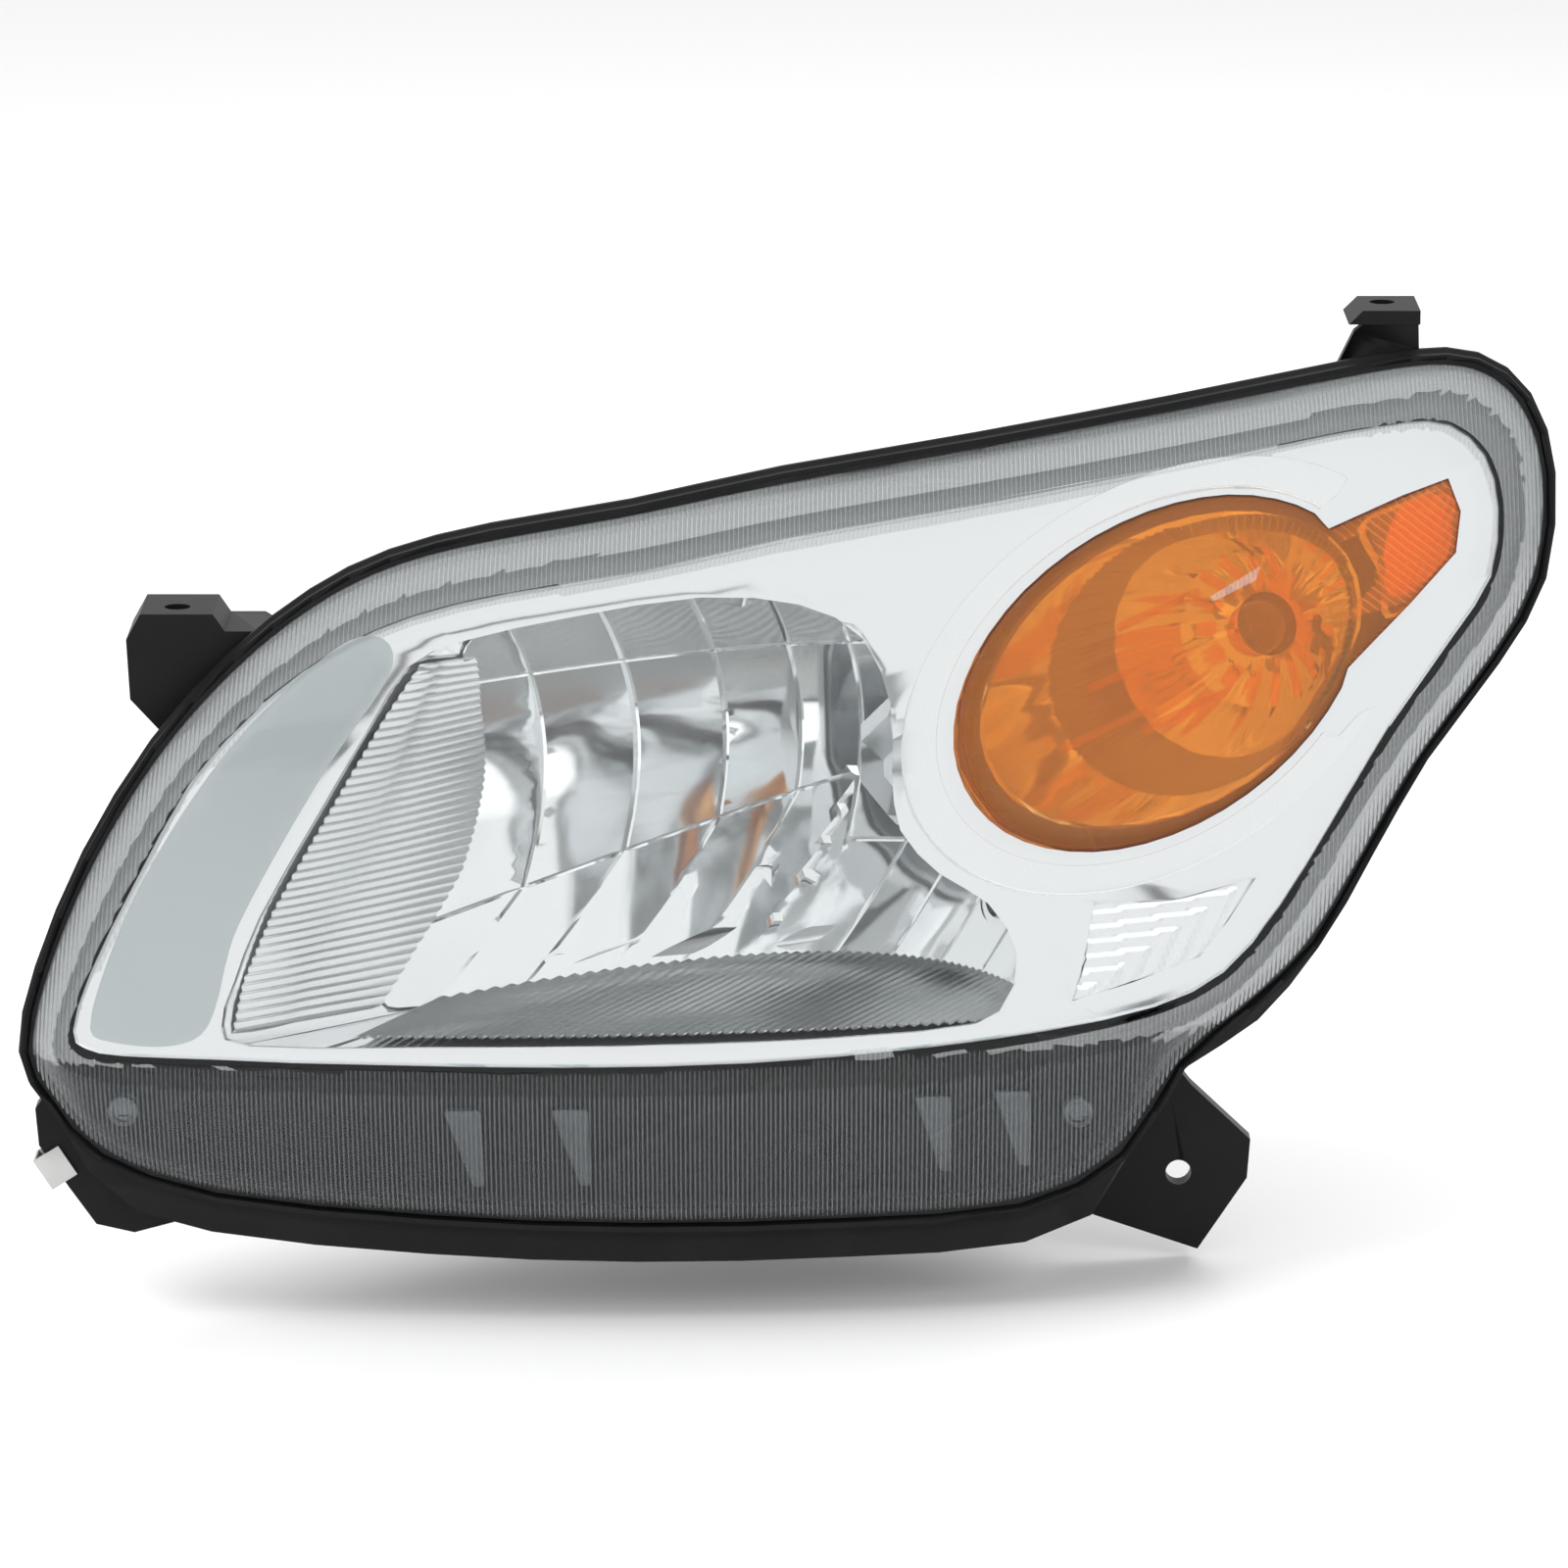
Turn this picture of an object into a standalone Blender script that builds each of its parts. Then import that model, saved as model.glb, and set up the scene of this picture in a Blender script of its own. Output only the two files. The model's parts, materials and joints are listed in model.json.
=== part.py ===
import math

import bmesh
import bpy
from mathutils import Vector

for stale in list(bpy.data.objects):
    bpy.data.objects.remove(stale)

# ---------------------------------------------------------------- driving sizes, in millimetres
# Car axes: +X outboard, +Y rearward, +Z up. The lens is set out in its own frame (u along the
# lens, w into the lamp, z up), which is turned by SWEEP about Z from the car axes.
MM = 0.001
SWEEP = math.radians(28.0)
GAP = 0.35

FRONT_U = -110.0
BOW_INBOARD = 7.5
BOW_OUTBOARD = 15.0
RAKE = 0.40
LENS_WALL = 2.6
RING_POINTS = 64

BEZEL_OFFSET = 7.0
BEZEL_WALL = 2.0
AMBER_OFFSET = 5.0
AMBER_WALL = 2.0

HOUSING_WALL = 2.8
BACK_Y = 190.0
BACK_X_SCALE = 0.72
BACK_Z_SCALE = 0.80

BULB_X = -13.0
BULB_Z = -6.0
VERTEX_Y = 172.0
FOCAL = 30.0
REFLECTOR_WALL = 2.2
BULB_HOLE_R = 19.5
FLANGE_R = 21.5
BASE_R = 17.0
BOOT_HOLE_R = 36.0
SHIELD_R = 25.0

PIVOT_Y = 162.0
PIVOT_Z = 52.0
PIVOT_X_IN = -80.0
PIVOT_X_OUT = -8.0
AIM_X = -75.0
AIM_Z = -56.0
BALL_R = 4.0

TURN_X = 66.0
TURN_Z = 29.0
TURN_RX = 53.0
TURN_RZ = 56.0
CUP_X = 69.0
CUP_Z = 30.0
CUP_R = 39.5
CUP_Y = 192.0
DRUM_R = 46.5
DRUM_Y = 259.0
SOCKET_R = 14.0

MARK_X = 110.0
MARK_Z = 62.0
MARK_Y = 322.0
MARK_SOCKET_R = 9.5

POS_X = 10.0
POS_Z = -54.0
POS_SOCKET_R = 8.5

BOLT_R = 4.5
PAD_Z = 51.0

# Edge of the lens, clockwise from its lower inboard corner: corner u, corner z,
# base u, base z, and how far the base lies behind the corner.
EDGE = [
    (-245, -78, -254, -86, 20), (-240, -58, -249, -61, 22), (-225, -25, -234, -26, 22),
    (-203, 9, -212, 8, 22), (-178, 34, -186, 35, 22), (-153, 50, -160, 54, 22),
    (-128, 60, -134, 66, 22), (-95, 67, -100, 74, 22), (-50, 73, -52, 81, 22),
    (0, 82, 0, 90, 22), (68, 90, 68, 98, 22), (137, 98, 137, 106, 22),
    (190, 104, 190, 112, 22), (220, 106, 223, 115, 22), (240, 103, 246, 113, 22),
    (254, 91, 262, 101, 22), (259, 72, 269, 78, 22), (255, 48, 265, 46, 22),
    (238, 27, 248, 22, 22), (212, 0, 221, -6, 22), (191, -28, 200, -35, 22),
    (172, -53, 181, -62, 22), (152, -72, 158, -80, 22), (128, -81, 134, -98, 23),
    (90, -86, 114, -126, 23), (45, -89, 80, -140, 22), (-10, -91, 20, -142, 22),
    (-70, -91, -50, -142, 22), (-131, -90, -120, -139, 22), (-190, -89, -192, -132, 22),
    (-226, -87, -230, -119, 21), (-240, -84, -246, -101, 20),
]

# Main reflector, seen along the car's axis (x, z): the front rim and the edge where the
# paraboloid meets the side walls, both clockwise from the lower inboard corner.
SCOOP_FRONT = [
    (-176, -74), (-175, -60), (-172, -38), (-163, -8), (-155, 20), (-148, 42), (-132, 50),
    (-100, 57), (-66, 62), (-36, 59), (-12, 48), (9, 27), (16, 4), (31, -15), (44, -28),
    (55, -40), (60, -56), (57, -76), (30, -80), (-40, -81), (-110, -81), (-164, -81),
]
SCOOP_BACK = [
    (-147, -73), (-146, -60), (-141, -38), (-139, -8), (-138, 20), (-137, 40), (-127, 49),
    (-98, 55), (-64, 59), (-34, 56), (-12, 47), (8, 27), (15, 4), (30, -15), (43, -27),
    (53, -38), (57, -54), (54, -73), (28, -78), (-40, -79), (-105, -79), (-138, -79),
]

# Opening in the bezel in front of the reflector (x, z).
OPENING = [
    (-172, -72), (-171, -58), (-168, -38), (-159, -8), (-151, 20), (-145, 39), (-130, 47),
    (-100, 54), (-66, 59), (-37, 56), (-16, 45), (-2, 24), (4, 4), (11, -14), (25, -28),
    (40, -38), (51, -54), (50, -72), (30, -77), (-40, -78), (-110, -78), (-162, -78),
]

# Amber inner lens: the round turn signal plus its wing to the side marker (x, z).
WING = [(97, 72), (112, 80), (124, 84), (132, 72), (135, 58), (128, 43), (118, 25)]

PANEL = [(66, -38), (88, -38), (110, -34), (107, -50), (101, -62), (84, -69), (67, -73), (66, -58)]


# ---------------------------------------------------------------- materials
def material(name, color, rough=0.5, metal=0.0, clear=0.0, alpha=1.0):
    mat = bpy.data.materials.new(name)
    mat.use_nodes = True
    shader = mat.node_tree.nodes["Principled BSDF"]
    shader.inputs["Base Color"].default_value = (color[0], color[1], color[2], 1.0)
    shader.inputs["Roughness"].default_value = rough
    shader.inputs["Metallic"].default_value = metal
    shader.inputs["Transmission Weight"].default_value = clear
    shader.inputs["Alpha"].default_value = alpha
    mat.diffuse_color = (color[0], color[1], color[2], alpha)
    return mat


CLEAR = material("clear_lens", (0.92, 0.94, 0.95), 0.03, 0.0, 0.9, 0.3)
BLACK = material("black_plastic", (0.012, 0.012, 0.013), 0.55)
CHROME = material("chrome_reflector", (0.80, 0.82, 0.83), 0.08, 1.0)
SILVER = material("silver_bezel", (0.70, 0.72, 0.73), 0.25, 0.8)
AMBER = material("amber_plastic", (0.95, 0.33, 0.01), 0.08, 0.0, 0.5, 0.75)
WHITE = material("fluted_panel", (0.80, 0.80, 0.80), 0.3, 0.3)
RUBBER = material("rubber", (0.02, 0.02, 0.02), 0.8)
STEEL = material("spring_steel", (0.55, 0.55, 0.54), 0.3, 1.0)
GLASS = material("bulb_glass", (0.9, 0.92, 0.95), 0.02, 0.0, 0.95, 0.35)
AMBER_GLASS = material("amber_bulb_glass", (0.9, 0.4, 0.05), 0.05, 0.0, 0.8, 0.6)
NYLON = material("white_nylon", (0.75, 0.74, 0.70), 0.45)
GREY = material("grey_plastic", (0.18, 0.18, 0.19), 0.5)
SHIELD = material("grey_shield", (0.42, 0.43, 0.44), 0.35, 0.7)
SEAL = material("butyl_seal", (0.03, 0.03, 0.03), 0.7)


# ---------------------------------------------------------------- frames and surfaces
def car(u, w, z):
    c = math.cos(SWEEP)
    s = math.sin(SWEEP)
    return (u * c - w * s, u * s + w * c, z)


def face(u, z):
    t = (u - FRONT_U) / 150.0
    bow = (BOW_INBOARD if t < 0 else BOW_OUTBOARD) * t * t
    up = z + 75.0
    return bow + RAKE * up + 0.0012 * up * up


def front(x, z, offset):
    """Point on the lens face moved back by offset, at this x and z of the car frame."""
    low = -420.0
    high = 420.0
    c = math.cos(SWEEP)
    s = math.sin(SWEEP)
    for _ in range(40):
        mid = 0.5 * (low + high)
        if mid * c - (face(mid, z) + offset) * s > x:
            high = mid
        else:
            low = mid
    return car(low, face(low, z) + offset, z)


def spline(rows, count):
    """Closed Catmull-Rom curve through the rows, sampled at count points."""
    out = []
    n = len(rows)
    for k in range(count):
        at = k * n / count
        i = int(at)
        t = at - i
        p0, p1, p2, p3 = (rows[(i + j - 1) % n] for j in range(4))
        point = []
        for a, b, c, d in zip(p0, p1, p2, p3):
            value = 2 * b + (c - a) * t + (2 * a - 5 * b + 4 * c - d) * t * t
            value += (3 * b - a - 3 * c + d) * t * t * t
            point.append(0.5 * value)
        out.append(point)
    return out


def outward(points):
    """Unit outward normals of a closed clockwise outline given as pairs."""
    out = []
    n = len(points)
    for i in range(n):
        a = points[i - 1]
        b = points[(i + 1) % n]
        dx = b[0] - a[0]
        dz = b[1] - a[1]
        size = math.hypot(dx, dz) or 1.0
        out.append((-dz / size, dx / size))
    return out


def grow(points, amount):
    normals = outward(points)
    return [(p[0] + n[0] * amount, p[1] + n[1] * amount) for p, n in zip(points, normals)]


# ---------------------------------------------------------------- mesh helpers
def mesh_object(name, verts, faces, mat, pivot=(0, 0, 0)):
    shift = Vector(pivot)
    mesh = bpy.data.meshes.new(name)
    mesh.from_pydata([(Vector(v) - shift) * MM for v in verts], [], faces)
    work = bmesh.new()
    work.from_mesh(mesh)
    bmesh.ops.remove_doubles(work, verts=work.verts, dist=0.00001)
    bmesh.ops.recalc_face_normals(work, faces=work.faces)
    work.to_mesh(mesh)
    work.free()
    mesh.materials.append(mat)
    obj = bpy.data.objects.new(name, mesh)
    bpy.context.scene.collection.objects.link(obj)
    obj.location = (shift - Vector(ORIGIN)) * MM
    return obj


def loft(rings, start=None, end=None, loop=False):
    """Skin a list of equal rings. start and end close them with a fan to that point."""
    n = len(rings[0])
    verts = [tuple(p) for ring in rings for p in ring]
    faces = []
    last = len(rings) if loop else len(rings) - 1
    for k in range(last):
        a = k * n
        b = ((k + 1) % len(rings)) * n
        for i in range(n):
            j = (i + 1) % n
            faces.append((a + i, a + j, b + j, b + i))
    if start is not None:
        verts.append(tuple(start))
        faces += [((i + 1) % n, i, len(verts) - 1) for i in range(n)]
    if end is not None:
        verts.append(tuple(end))
        a = (len(rings) - 1) * n
        faces += [(a + i, a + (i + 1) % n, len(verts) - 1) for i in range(n)]
    return verts, faces


def thicken(rings, amount, ref):
    """Copy of the rings moved along their normals, which point rearward at ring ref."""
    n = len(rings[0])
    normals = []
    for r, ring in enumerate(rings):
        before = rings[max(r - 1, 0)]
        after = rings[min(r + 1, len(rings) - 1)]
        row = []
        for k in range(n):
            across = Vector(after[k]) - Vector(before[k])
            along = Vector(ring[(k + 1) % n]) - Vector(ring[k - 1])
            row.append(across.cross(along).normalized())
        normals.append(row)
    sign = amount if sum(v.y for v in normals[ref]) > 0 else -amount
    moved = []
    for ring, row in zip(rings, normals):
        moved.append([tuple(Vector(p) + v * sign) for p, v in zip(ring, row)])
    return moved


def prism(points, offset):
    n = len(points)
    verts = [tuple(p) for p in points]
    verts += [tuple(a + b for a, b in zip(p, offset)) for p in points]
    faces = [tuple(range(n)), tuple(range(2 * n - 1, n - 1, -1))]
    faces += [(i, (i + 1) % n, n + (i + 1) % n, n + i) for i in range(n)]
    return verts, faces


def lens_prism(points, w0, w1):
    """Outline in u and z, run from depth w0 to w1 of the lens frame."""
    start = [car(u, w0, z) for u, z in points]
    step = [b - a for a, b in zip(car(0, w0, 0), car(0, w1, 0))]
    return prism(start, step)


def box(x0, x1, y0, y1, z0, z1):
    return prism([(x0, y0, z0), (x1, y0, z0), (x1, y0, z1), (x0, y0, z1)], (0, y1 - y0, 0))


def turned(cx, cz, profile, seg=32, loop=False, axis="Y", cy=0.0):
    """Profile of (radius, distance) pairs turned about an axis through (cx, cy, cz)."""
    rings = []
    ends = [None, None]
    for k, (r, d) in enumerate(profile):
        if r <= 0.0:
            tip = (cx, d, cz) if axis == "Y" else (cx, cy, d)
            ends[0 if k == 0 else 1] = tip
            continue
        ring = []
        for i in range(seg):
            a = 2 * math.pi * i / seg
            if axis == "Y":
                ring.append((cx + r * math.cos(a), d, cz + r * math.sin(a)))
            else:
                ring.append((cx + r * math.cos(a), cy + r * math.sin(a), d))
        rings.append(ring)
    return loft(rings, ends[0], ends[1], loop)


def wire(path, radius, seg=8):
    """Round wire along a list of points, with flat ends."""
    pts = [Vector(p) for p in path]
    rings = []
    side = None
    for i, p in enumerate(pts):
        ahead = (pts[min(i + 1, len(pts) - 1)] - pts[max(i - 1, 0)]).normalized()
        if side is None:
            side = ahead.orthogonal().normalized()
        side = (side - ahead * side.dot(ahead)).normalized()
        other = ahead.cross(side)
        ring = []
        for k in range(seg):
            a = 2 * math.pi * k / seg
            ring.append(tuple(p + side * (radius * math.cos(a)) + other * (radius * math.sin(a))))
        rings.append(ring)
    return loft(rings, pts[0], pts[-1])


def boolean(target, shape, how):
    """Queue a tool on the target. Tools of one kind in a row work as one group."""
    last = target.modifiers[-1] if target.modifiers else None
    if last is None or last.name != how.lower():
        if last:
            weld = target.modifiers.new("weld", "WELD")
            weld.merge_threshold = 0.00005
        last = target.modifiers.new(how.lower(), "BOOLEAN")
        last.operation = how
        last.solver = "EXACT"
        last.operand_type = "COLLECTION"
        last.collection = bpy.data.collections.new(target.name + "_" + how.lower())
        bpy.context.scene.collection.children.link(last.collection)
    tool = mesh_object("tool_" + target.name, shape[0], shape[1], BLACK)
    bpy.context.scene.collection.objects.unlink(tool)
    last.collection.objects.link(tool)
    tool.hide_render = True
    tool.display_type = "WIRE"


def cut(target, *shapes):
    for shape in shapes:
        boolean(target, shape, "DIFFERENCE")


def add(target, *shapes):
    for shape in shapes:
        boolean(target, shape, "UNION")


# ---------------------------------------------------------------- derived outlines
ORIGIN = car(-208.0, 120.0, PAD_Z)
STATIONS = spline(EDGE, RING_POINTS)
CORNER = [(s[0], s[1]) for s in STATIONS]
BASE = [(s[2], s[3]) for s in STATIONS]
BASE_W = [face(s[0], s[1]) + s[4] for s in STATIONS]
BASE_OUT = outward(BASE)
CENTRE_U = 15.0
CENTRE_Z = 5.0
SPINE_A = (-190.0, -42.0)
SPINE_B = (205.0, 62.0)


def inward(u, z):
    """Unit vector from an outline point towards the spine of the lens."""
    run = (SPINE_B[0] - SPINE_A[0], SPINE_B[1] - SPINE_A[1])
    share = ((u - SPINE_A[0]) * run[0] + (z - SPINE_A[1]) * run[1]) / (run[0] ** 2 + run[1] ** 2)
    share = min(1.0, max(0.0, share))
    du = SPINE_A[0] + run[0] * share - u
    dz = SPINE_A[1] + run[1] * share - z
    size = math.hypot(du, dz)
    return (du / size, dz / size)


CORNER_IN = [inward(u, z) for u, z in CORNER]


def base_ring(n, b):
    """Ring along the lens base, moved outward by n and back by b."""
    ring = []
    for (u, z), (nu, nz), w in zip(BASE, BASE_OUT, BASE_W):
        ring.append(car(u + nu * n, w + b, z + nz * n))
    return ring


def face_ring(inset, scale, offset):
    ring = []
    for (u, z), (nu, nz) in zip(CORNER, CORNER_IN):
        pu = CENTRE_U + (u + nu * inset - CENTRE_U) * scale
        pz = CENTRE_Z + (z + nz * inset - CENTRE_Z) * scale
        ring.append(car(pu, face(pu, pz) + offset, pz))
    return ring


# ---------------------------------------------------------------- outer lens
def lens_skin(inset, back, edge):
    """Rings of one skin, from the centre of the face to the edge in the groove."""
    rings = [face_ring(inset, s, back) for s in (0.25, 0.5, 0.75)]
    rings.append(face_ring(inset + 5.0, 1.0, back))
    rings.append(face_ring(inset + 1.4, 1.0, back + 1.2))
    wall = []
    for k in range(RING_POINTS):
        nu, nz = CORNER_IN[k]
        bu, bz = BASE_OUT[k]
        u = 0.82 * (CORNER[k][0] + nu * inset) + 0.18 * (BASE[k][0] + bu * edge)
        z = 0.82 * (CORNER[k][1] + nz * inset) + 0.18 * (BASE[k][1] + bz * edge)
        w = 0.82 * (face(*CORNER[k]) + back) + 0.18 * BASE_W[k]
        wall.append(car(u, w, z))
    rings.append(wall)
    rings.append(base_ring(edge, -1.0))
    rings.append(base_ring(edge, 5.0))
    return rings


def build_lens():
    outer = lens_skin(0.0, 0.0, 1.2)
    inner = lens_skin(LENS_WALL, LENS_WALL, -1.2)
    tip = car(CENTRE_U, face(CENTRE_U, CENTRE_Z), CENTRE_Z)
    root = car(CENTRE_U, face(CENTRE_U, CENTRE_Z) + LENS_WALL, CENTRE_Z)
    verts, faces = loft(outer + inner[::-1], tip, root)
    return mesh_object("outer_lens", verts, faces, CLEAR)


def build_seal():
    rings = [base_ring(-3.0, 5.4), base_ring(2.4, 5.4), base_ring(2.4, 8.6), base_ring(-3.0, 8.6)]
    verts, faces = loft(rings, loop=True)
    return mesh_object("lens_seal", verts, faces, SEAL)


# ---------------------------------------------------------------- housing
def back_ring(share):
    """Ring of the housing's back wall: share 1 is its rim, 0 the bulb's axis."""
    ring = []
    for k in range(RING_POINTS):
        x, y, z = car(BASE[k][0], BASE_W[k], BASE[k][1])
        rim_x = (BACK_X_SCALE + 0.1 * (x > 0)) * x + 10.0
        rim_z = (BACK_Z_SCALE + 0.08 * (z > 0)) * z + 3.0
        fall = min(1.0, max(0.0, (-60.0 - rim_x) / 93.0))
        rim_y = max(BACK_Y - 80.0 * fall * fall, y + 30.0)
        bend = max(0.0, (share - 0.50) / 0.50) ** 1.4
        if rim_y > BACK_Y:
            bend = max(0.0, (share - 0.46) / 0.54) ** 1.2
        ring.append((BULB_X + (rim_x - BULB_X) * share, BACK_Y + (rim_y - BACK_Y) * bend,
                     BULB_Z + (rim_z - BULB_Z) * share))
    return ring


def lip_ring(extra, b):
    """Outer rim with the deep lip that hangs below the lens."""
    ring = []
    for (u, z), (nu, nz), w in zip(BASE, BASE_OUT, BASE_W):
        low = max(0.0, min(1.0, (-nz - 0.75) / 0.2))
        n = 4.6 + extra * (1.2 + 11.0 * low)
        ring.append(car(u + nu * n, w + b, z + nz * n))
    return ring


def build_housing():
    lip = [lip_ring(0.0, 6.0), lip_ring(1.0, 7.0), lip_ring(1.0, 10.0), lip_ring(0.0, 13.0)]
    outer = [back_ring(share) for share in (1.0, 0.88, 0.75, 0.62, 0.5, 0.25)]
    inner = thicken([lip[-1]] + outer, -HOUSING_WALL, -1)[1:]
    groove = [base_ring(-5.2, 13.0), base_ring(-5.2, 2.0), base_ring(-3.4, 2.0)]
    groove += [base_ring(-3.4, 9.0), base_ring(2.8, 9.0), base_ring(2.8, 1.5), base_ring(4.6, 1.5)]
    start = (BULB_X, BACK_Y - HOUSING_WALL, BULB_Z)
    verts, faces = loft(inner[::-1] + groove + lip + outer, start, (BULB_X, BACK_Y, BULB_Z))
    body = mesh_object("housing", verts, faces, BLACK)

    # Drum behind the turn signal and the turret behind the side marker.
    add(body, drum(CUP_X, CUP_Z, [(DRUM_R, 184.5), (DRUM_R, DRUM_Y - 9), (DRUM_R - 4, DRUM_Y)], 26))
    turret = [(19, 262), (19, 302), (14.5, 308), (14.5, MARK_Y)]
    add(body, drum(MARK_X, MARK_Z, turret, 30))
    # Collar of the bulb opening, vent tubes and the gear box of the aiming drive.
    collar = BOOT_HOLE_R + 2.3
    add(body, turned(BULB_X, BULB_Z, [(0, 188.5), (collar, 188.5), (collar, 204), (0, 204)], 40))
    add(body, turned(30, -80, [(0, 188.5), (5, 188.5), (5, 202), (0, 202)], 16))
    add(body, turned(-98, 12, [(0, 180), (5, 180), (5, 200), (0, 200)], 16))
    add(body, box(AIM_X - 17, AIM_X + 17, 188.5, 193, AIM_Z - 15, AIM_Z + 30))
    add(body, box(AIM_X - 17, AIM_X + 17, 190, 212, AIM_Z + 18, AIM_Z + 26))

    # Brackets.
    hook = [(-225, 21), (-226, 42), (-221, PAD_Z), (-196, PAD_Z), (-192, 45), (-180, 45)]
    hook += [(-172, 40), (-176, 22), (-186, 2), (-198, -8), (-206, 0)]
    add(body, lens_prism(hook, 96, 128))
    add(body, lens_prism([(192, 104), (203, 127), (212, 133.6), (225.8, 133.6), (226.8, 104)], 217, 222))
    add(body, lens_prism([(201, 129.5), (206, 134.5), (226.5, 134.5), (226.5, 129.5)], 216.2, 246))
    arm = [(88, -100), (128, -100), (142, -118), (163, -138), (162, -152), (145, -178), (107, -165)]
    add(body, lens_prism(arm, 100, 108))
    tab = [(-248, -98), (-255, -108), (-254, -121), (-244, -136), (-235, -149), (-222, -152)]
    tab += [(-200, -146), (-212, -124), (-232, -106)]
    add(body, lens_prism(tab, 36, 46))

    # Cavities and holes.
    hollow = DRUM_R - HOUSING_WALL
    cut(body, drum(CUP_X, CUP_Z, [(hollow, 184.3), (hollow, DRUM_Y - 9), (hollow - 4, DRUM_Y - 3)], 0))
    turret = [(16.4, 240), (16.4, 299), (11.8, 304), (11.8, MARK_Y - 3)]
    cut(body, drum(MARK_X, MARK_Z, turret, 0))
    cut(body, turned(BULB_X, BULB_Z, [(0, 180), (BOOT_HOLE_R, 180), (BOOT_HOLE_R, 210), (0, 210)], 40))
    cut(body, turned(CUP_X, CUP_Z, [(0, 250), (SOCKET_R + GAP, 250), (SOCKET_R + GAP, 262), (0, 262)]))
    mark_hole = MARK_SOCKET_R + GAP
    cut(body, turned(MARK_X, MARK_Z, [(0, MARK_Y - 6), (mark_hole, MARK_Y - 6), (mark_hole, MARK_Y + 3),
                                      (0, MARK_Y + 3)]))
    for k in range(3):
        a = math.radians(120 * k + 45)
        cut(body, lug(CUP_X, CUP_Z, SOCKET_R - 3, SOCKET_R + 4, a, 8.5, 254, 262))
        cut(body, lug(MARK_X, MARK_Z, MARK_SOCKET_R - 3, MARK_SOCKET_R + 2.2, a, 5.5,
                      MARK_Y - 5, MARK_Y + 2))
    cut(body, turned(AIM_X, AIM_Z, [(0, 180), (3.4, 180), (3.4, 200), (0, 200)], 20))
    cut(body, turned(AIM_X, 0, [(0, AIM_Z + 10), (3.0, AIM_Z + 10), (3.0, AIM_Z + 40), (0, AIM_Z + 40)],
                     20, axis="Z", cy=204.5))
    cut(body, turned(30, -80, [(0, 180), (3, 180), (3, 206), (0, 206)], 16))
    cut(body, turned(-98, 12, [(0, 160), (3, 160), (3, 206), (0, 206)], 16))
    for u, w, z0, z1 in ((-209, 108, 26, 60), (214, 234, 120, 145)):
        x, y, _ = car(u, w, 0)
        cut(body, turned(x, 0, [(0, z0), (BOLT_R, z0), (BOLT_R, z1), (0, z1)], 20, axis="Z", cy=y))
    ring0 = []
    ring1 = []
    for k in range(20):
        a = 2 * math.pi * k / 20
        ring0.append(car(138 + BOLT_R * math.cos(a), 96, -150 + BOLT_R * math.sin(a)))
        ring1.append(car(138 + BOLT_R * math.cos(a), 112, -150 + BOLT_R * math.sin(a)))
    cut(body, loft([ring0, ring1], car(138, 96, -150), car(138, 112, -150)))
    return body


def drum(cx, cz, profile, start):
    """Solid turned about a lamp's axis, its front edge parallel to the lens at depth start.

    The first pair of the profile gives the front edge and its least depth.
    """
    seg = 36
    rings = []
    for k, (r, y) in enumerate(profile):
        ring = []
        for i in range(seg):
            x = cx + r * math.cos(2 * math.pi * i / seg)
            z = cz + r * math.sin(2 * math.pi * i / seg)
            ring.append((x, max(y, front(x, z, start)[1]) if k == 0 and start else y, z))
        rings.append(ring)
    depth = sum(p[1] for p in rings[0]) / seg
    return loft(rings, (cx, depth, cz), (cx, profile[-1][1], cz))


def lug(cx, cz, r0, r1, angle, width, y0, y1):
    """Radial block between radii r0 and r1, from y0 to y1."""
    c = math.cos(angle)
    s = math.sin(angle)
    points = []
    for r, side in ((r0, -0.5), (r1, -0.5), (r1, 0.5), (r0, 0.5)):
        points.append((cx + r * c - side * width * s, y0, cz + r * s + side * width * c))
    return prism(points, (0, y1 - y0, 0))


# ---------------------------------------------------------------- bezel and fluted panel
def build_bezel():
    def skin(extra):
        rings = [face_ring(6.5, s, BEZEL_OFFSET + extra) for s in (0.2, 0.4, 0.6, 0.8)]
        rings.append(face_ring(8.0 + extra, 1.0, BEZEL_OFFSET + extra))
        rings.append(face_ring(6.5 + extra, 1.0, BEZEL_OFFSET + extra * 0.5 + 1.5))
        rings.append(face_ring(6.0 + extra, 1.0, BEZEL_OFFSET + 5.5))
        return rings

    tip = car(CENTRE_U, face(CENTRE_U, CENTRE_Z) + BEZEL_OFFSET, CENTRE_Z)
    root = car(CENTRE_U, face(CENTRE_U, CENTRE_Z) + BEZEL_OFFSET + BEZEL_WALL, CENTRE_Z)
    verts, faces = loft(skin(0.0) + skin(BEZEL_WALL)[::-1], tip, root)
    bezel = mesh_object("bezel", verts, faces, SILVER)
    cut(bezel, prism([(x, -160, z) for x, z in spline(OPENING, 44)], (0, 440, 0)))
    cut(bezel, prism([(x, -160, z) for x, z in grow(amber_outline(), -2.6)], (0, 600, 0)))
    cut(bezel, prism([(x, -160, z) for x, z in grow(PANEL, -3.0)], (0, 600, 0)))
    return bezel


def sheet(outline, offset, wall, steps=((0.5, 0, 0), (1.0, 0, 0))):
    """Sheet that follows the lens face inside an outline of (x, z) pairs.

    Each step is the share of the way out, the inset from the outline and the extra depth.
    """
    cx = sum(p[0] for p in outline) / len(outline)
    cz = sum(p[1] for p in outline) / len(outline)
    skins = []
    for extra in (0.0, wall):
        rings = []
        for share, inset, back in steps:
            rings.append([front(cx + (x - cx) * share, cz + (z - cz) * share, offset + back + extra)
                          for x, z in grow(outline, -inset)])
        skins.append(rings)
    return loft(skins[0] + skins[1][::-1], front(cx, cz, offset), front(cx, cz, offset + wall))


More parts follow.
